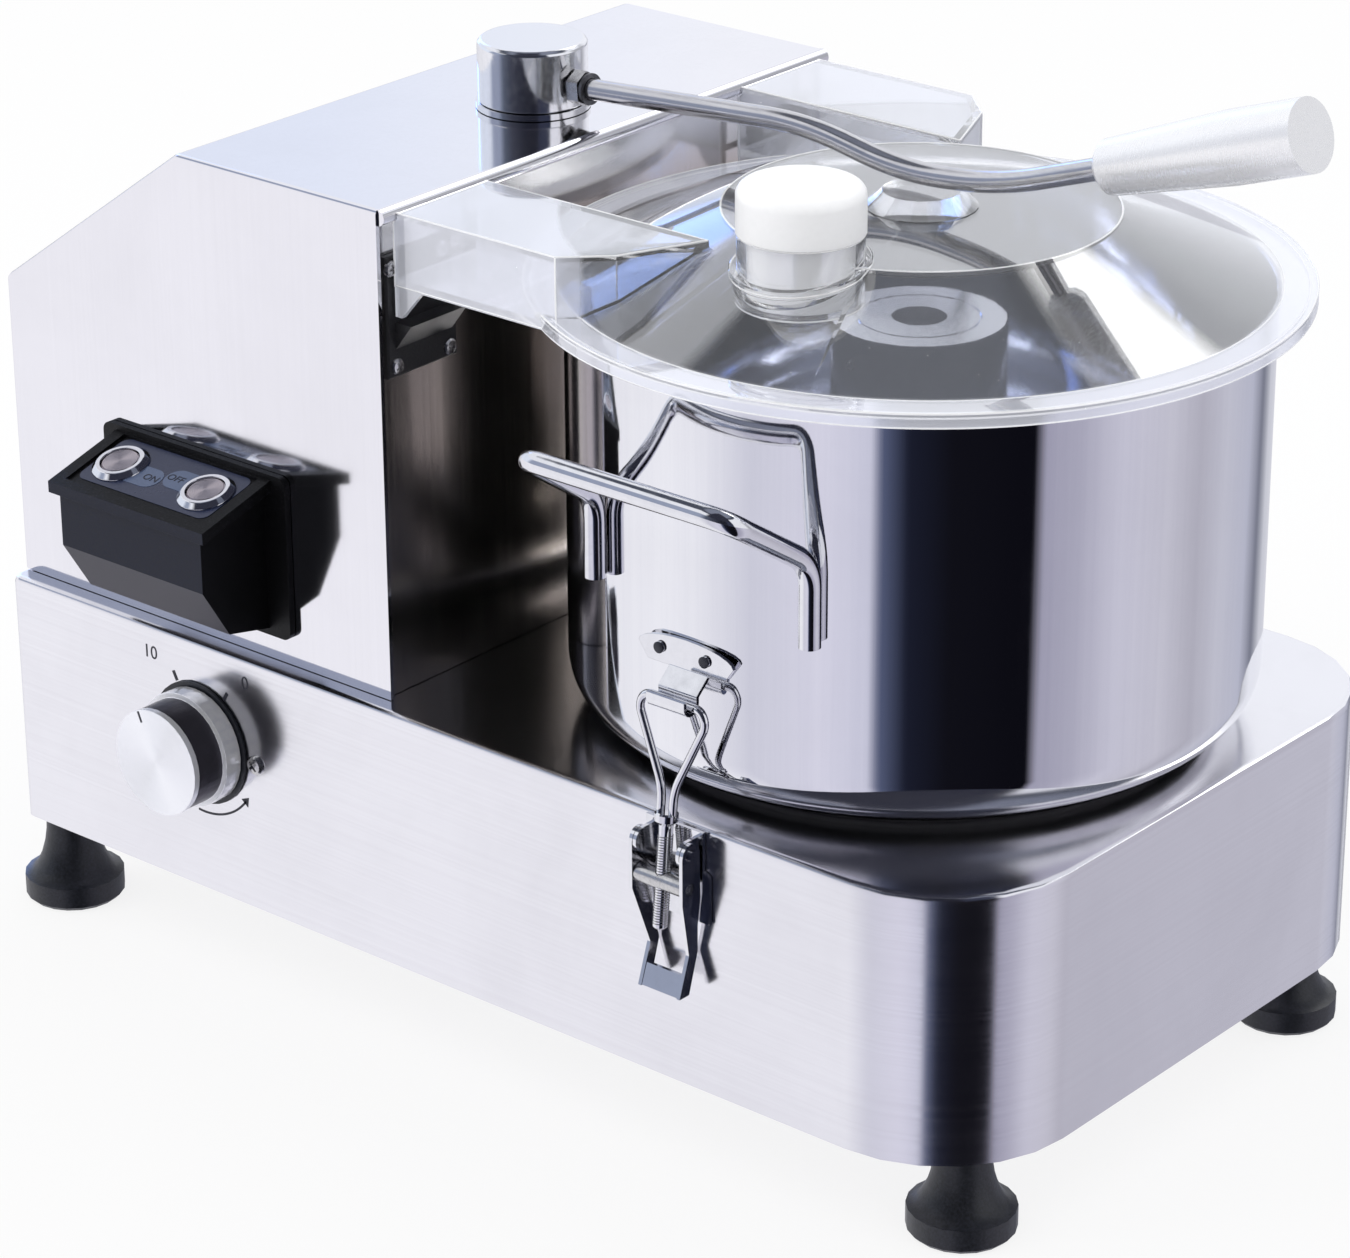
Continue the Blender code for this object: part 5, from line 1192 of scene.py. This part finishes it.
skyLook = {"low": (0.92, 0.94, 1.0), "lowTo": 0.74, "dark": (0.07, 0.08, 0.11),
           "darkFrom": 0.77, "darkTo": 0.83, "high": (0.22, 0.24, 0.31), "highFrom": 0.88,
           "door": (0.03, 0.032, 0.05), "doorFrom": (0.17, 0.20), "doorTo": (0.465, 0.455),
           "horizon": (-0.02, 0.0), "overhead": (0.47, 0.52), "diffuse": 0.95, "softbox": 3.6,
           "boxRise": (0.60, 0.66, 0.84, 0.78), "boxTurn": (0.69, 0.71, 0.82, 0.80)}


def overheadTone(tree, rise, turn, look):  # pale, then dark, then grey, with a dark doorway
    bands = ramp(tree, rise, [(0.0, look["low"]), (look["lowTo"], look["low"]),
                              (look["darkFrom"], look["dark"]), (look["darkTo"], look["dark"]),
                              (look["highFrom"], look["high"]), (1.0, look["high"])])
    doorway = maths(tree, "MULTIPLY", rescale(tree, turn, *look["doorFrom"]),
                    rescale(tree, turn, *look["doorTo"]))
    return blendColour(tree, doorway, bands, rgb(look["door"]))


def between(tree, value, edges):  # fades in over the first two edges and out over the others
    return maths(tree, "MULTIPLY", rescale(tree, value, *edges[:2]),
                 rescale(tree, value, *edges[2:]))


def studioWorld(ring, look):
    world = bpy.data.worlds.new("studio")
    world.use_nodes = True
    tree = world.node_tree
    direction = addNode(tree, "ShaderNodeTexCoord").outputs["Generated"]
    parts = addNode(tree, "ShaderNodeSeparateXYZ", {"Vector": direction})
    rise = parts.outputs["Z"]
    turn = rescale(tree, maths(tree, "ARCTAN2", parts.outputs["Y"], parts.outputs["X"]),
                   -math.pi, math.pi)
    lower = blendColour(tree, rescale(tree, rise, *look["horizon"]),
                        ramp(tree, turn, ring["around"]), ramp(tree, turn, ring["above"]))
    glossy = blendColour(tree, rescale(tree, rise, *look["overhead"]), lower,
                         overheadTone(tree, rise, turn, look))
    softbox = maths(tree, "MULTIPLY", between(tree, rise, look["boxRise"]),
                    between(tree, turn, look["boxTurn"]))
    glossy = blendColour(tree, softbox, glossy, rgb((look["softbox"],) * 3))
    path = addNode(tree, "ShaderNodeLightPath")
    soft = blendColour(tree, mirrored(tree, path), rgb((look["diffuse"],) * 3), glossy)
    final = blendColour(tree, straightThrough(tree, path), soft, rgb((1, 1, 1)))
    tree.links.new(final, tree.nodes["Background"].inputs["Color"])
    return world


bpy.context.scene.world = studioWorld(studioLook, skyLook)


def addLamp(name, look):
    lamp = bpy.data.lights.new(name, "AREA")
    lamp.shape = "RECTANGLE"
    lamp.size, lamp.size_y = look["size"]
    lamp.energy = look["energy"]
    lamp.color = look["tone"]
    holder = bpy.data.objects.new(name, lamp)
    bpy.context.scene.collection.objects.link(holder)
    holder.location = look["at"]
    aim = Vector(look["aim"]) - Vector(look["at"])
    holder.rotation_euler = aim.to_track_quat("-Z", "Y").to_euler()
    holder.visible_glossy = False


keyLook = {"at": (-1.2, -1.3, 1.9), "aim": (0, 0, 0.2), "size": (1.4, 1.4), "energy": 14,
           "tone": (1.0, 0.99, 0.97)}
rimLook = {"at": (0.9, 1.6, 1.7), "aim": (0, 0, 0.2), "size": (1.2, 1.2), "energy": 8,
           "tone": (0.94, 0.97, 1.0)}
addLamp("keyLamp", keyLook)
addLamp("rimLamp", rimLook)


# Camera

cameraLook = {"at": (1.15365, -1.38460, 0.94980), "azimuth": 40.267, "elevation": 23.823,
              "roll": -0.323, "lens": 124.81}
lens = bpy.data.cameras.new("camera")
lens.lens = cameraLook["lens"]
lens.sensor_width = 36
lens.clip_start, lens.clip_end = 0.01, 50
camera = bpy.data.objects.new("camera", lens)
bpy.context.scene.collection.objects.link(camera)
aim = Euler((math.radians(90 - cameraLook["elevation"]), 0, math.radians(cameraLook["azimuth"])))
spun = aim.to_matrix() @ Matrix.Rotation(math.radians(cameraLook["roll"]), 3, "Z")
camera.matrix_world = Matrix.Translation(cameraLook["at"]) @ spun.to_4x4()
bpy.context.scene.camera = camera
bpy.context.scene.view_settings.view_transform = "Standard"
print("stage set")
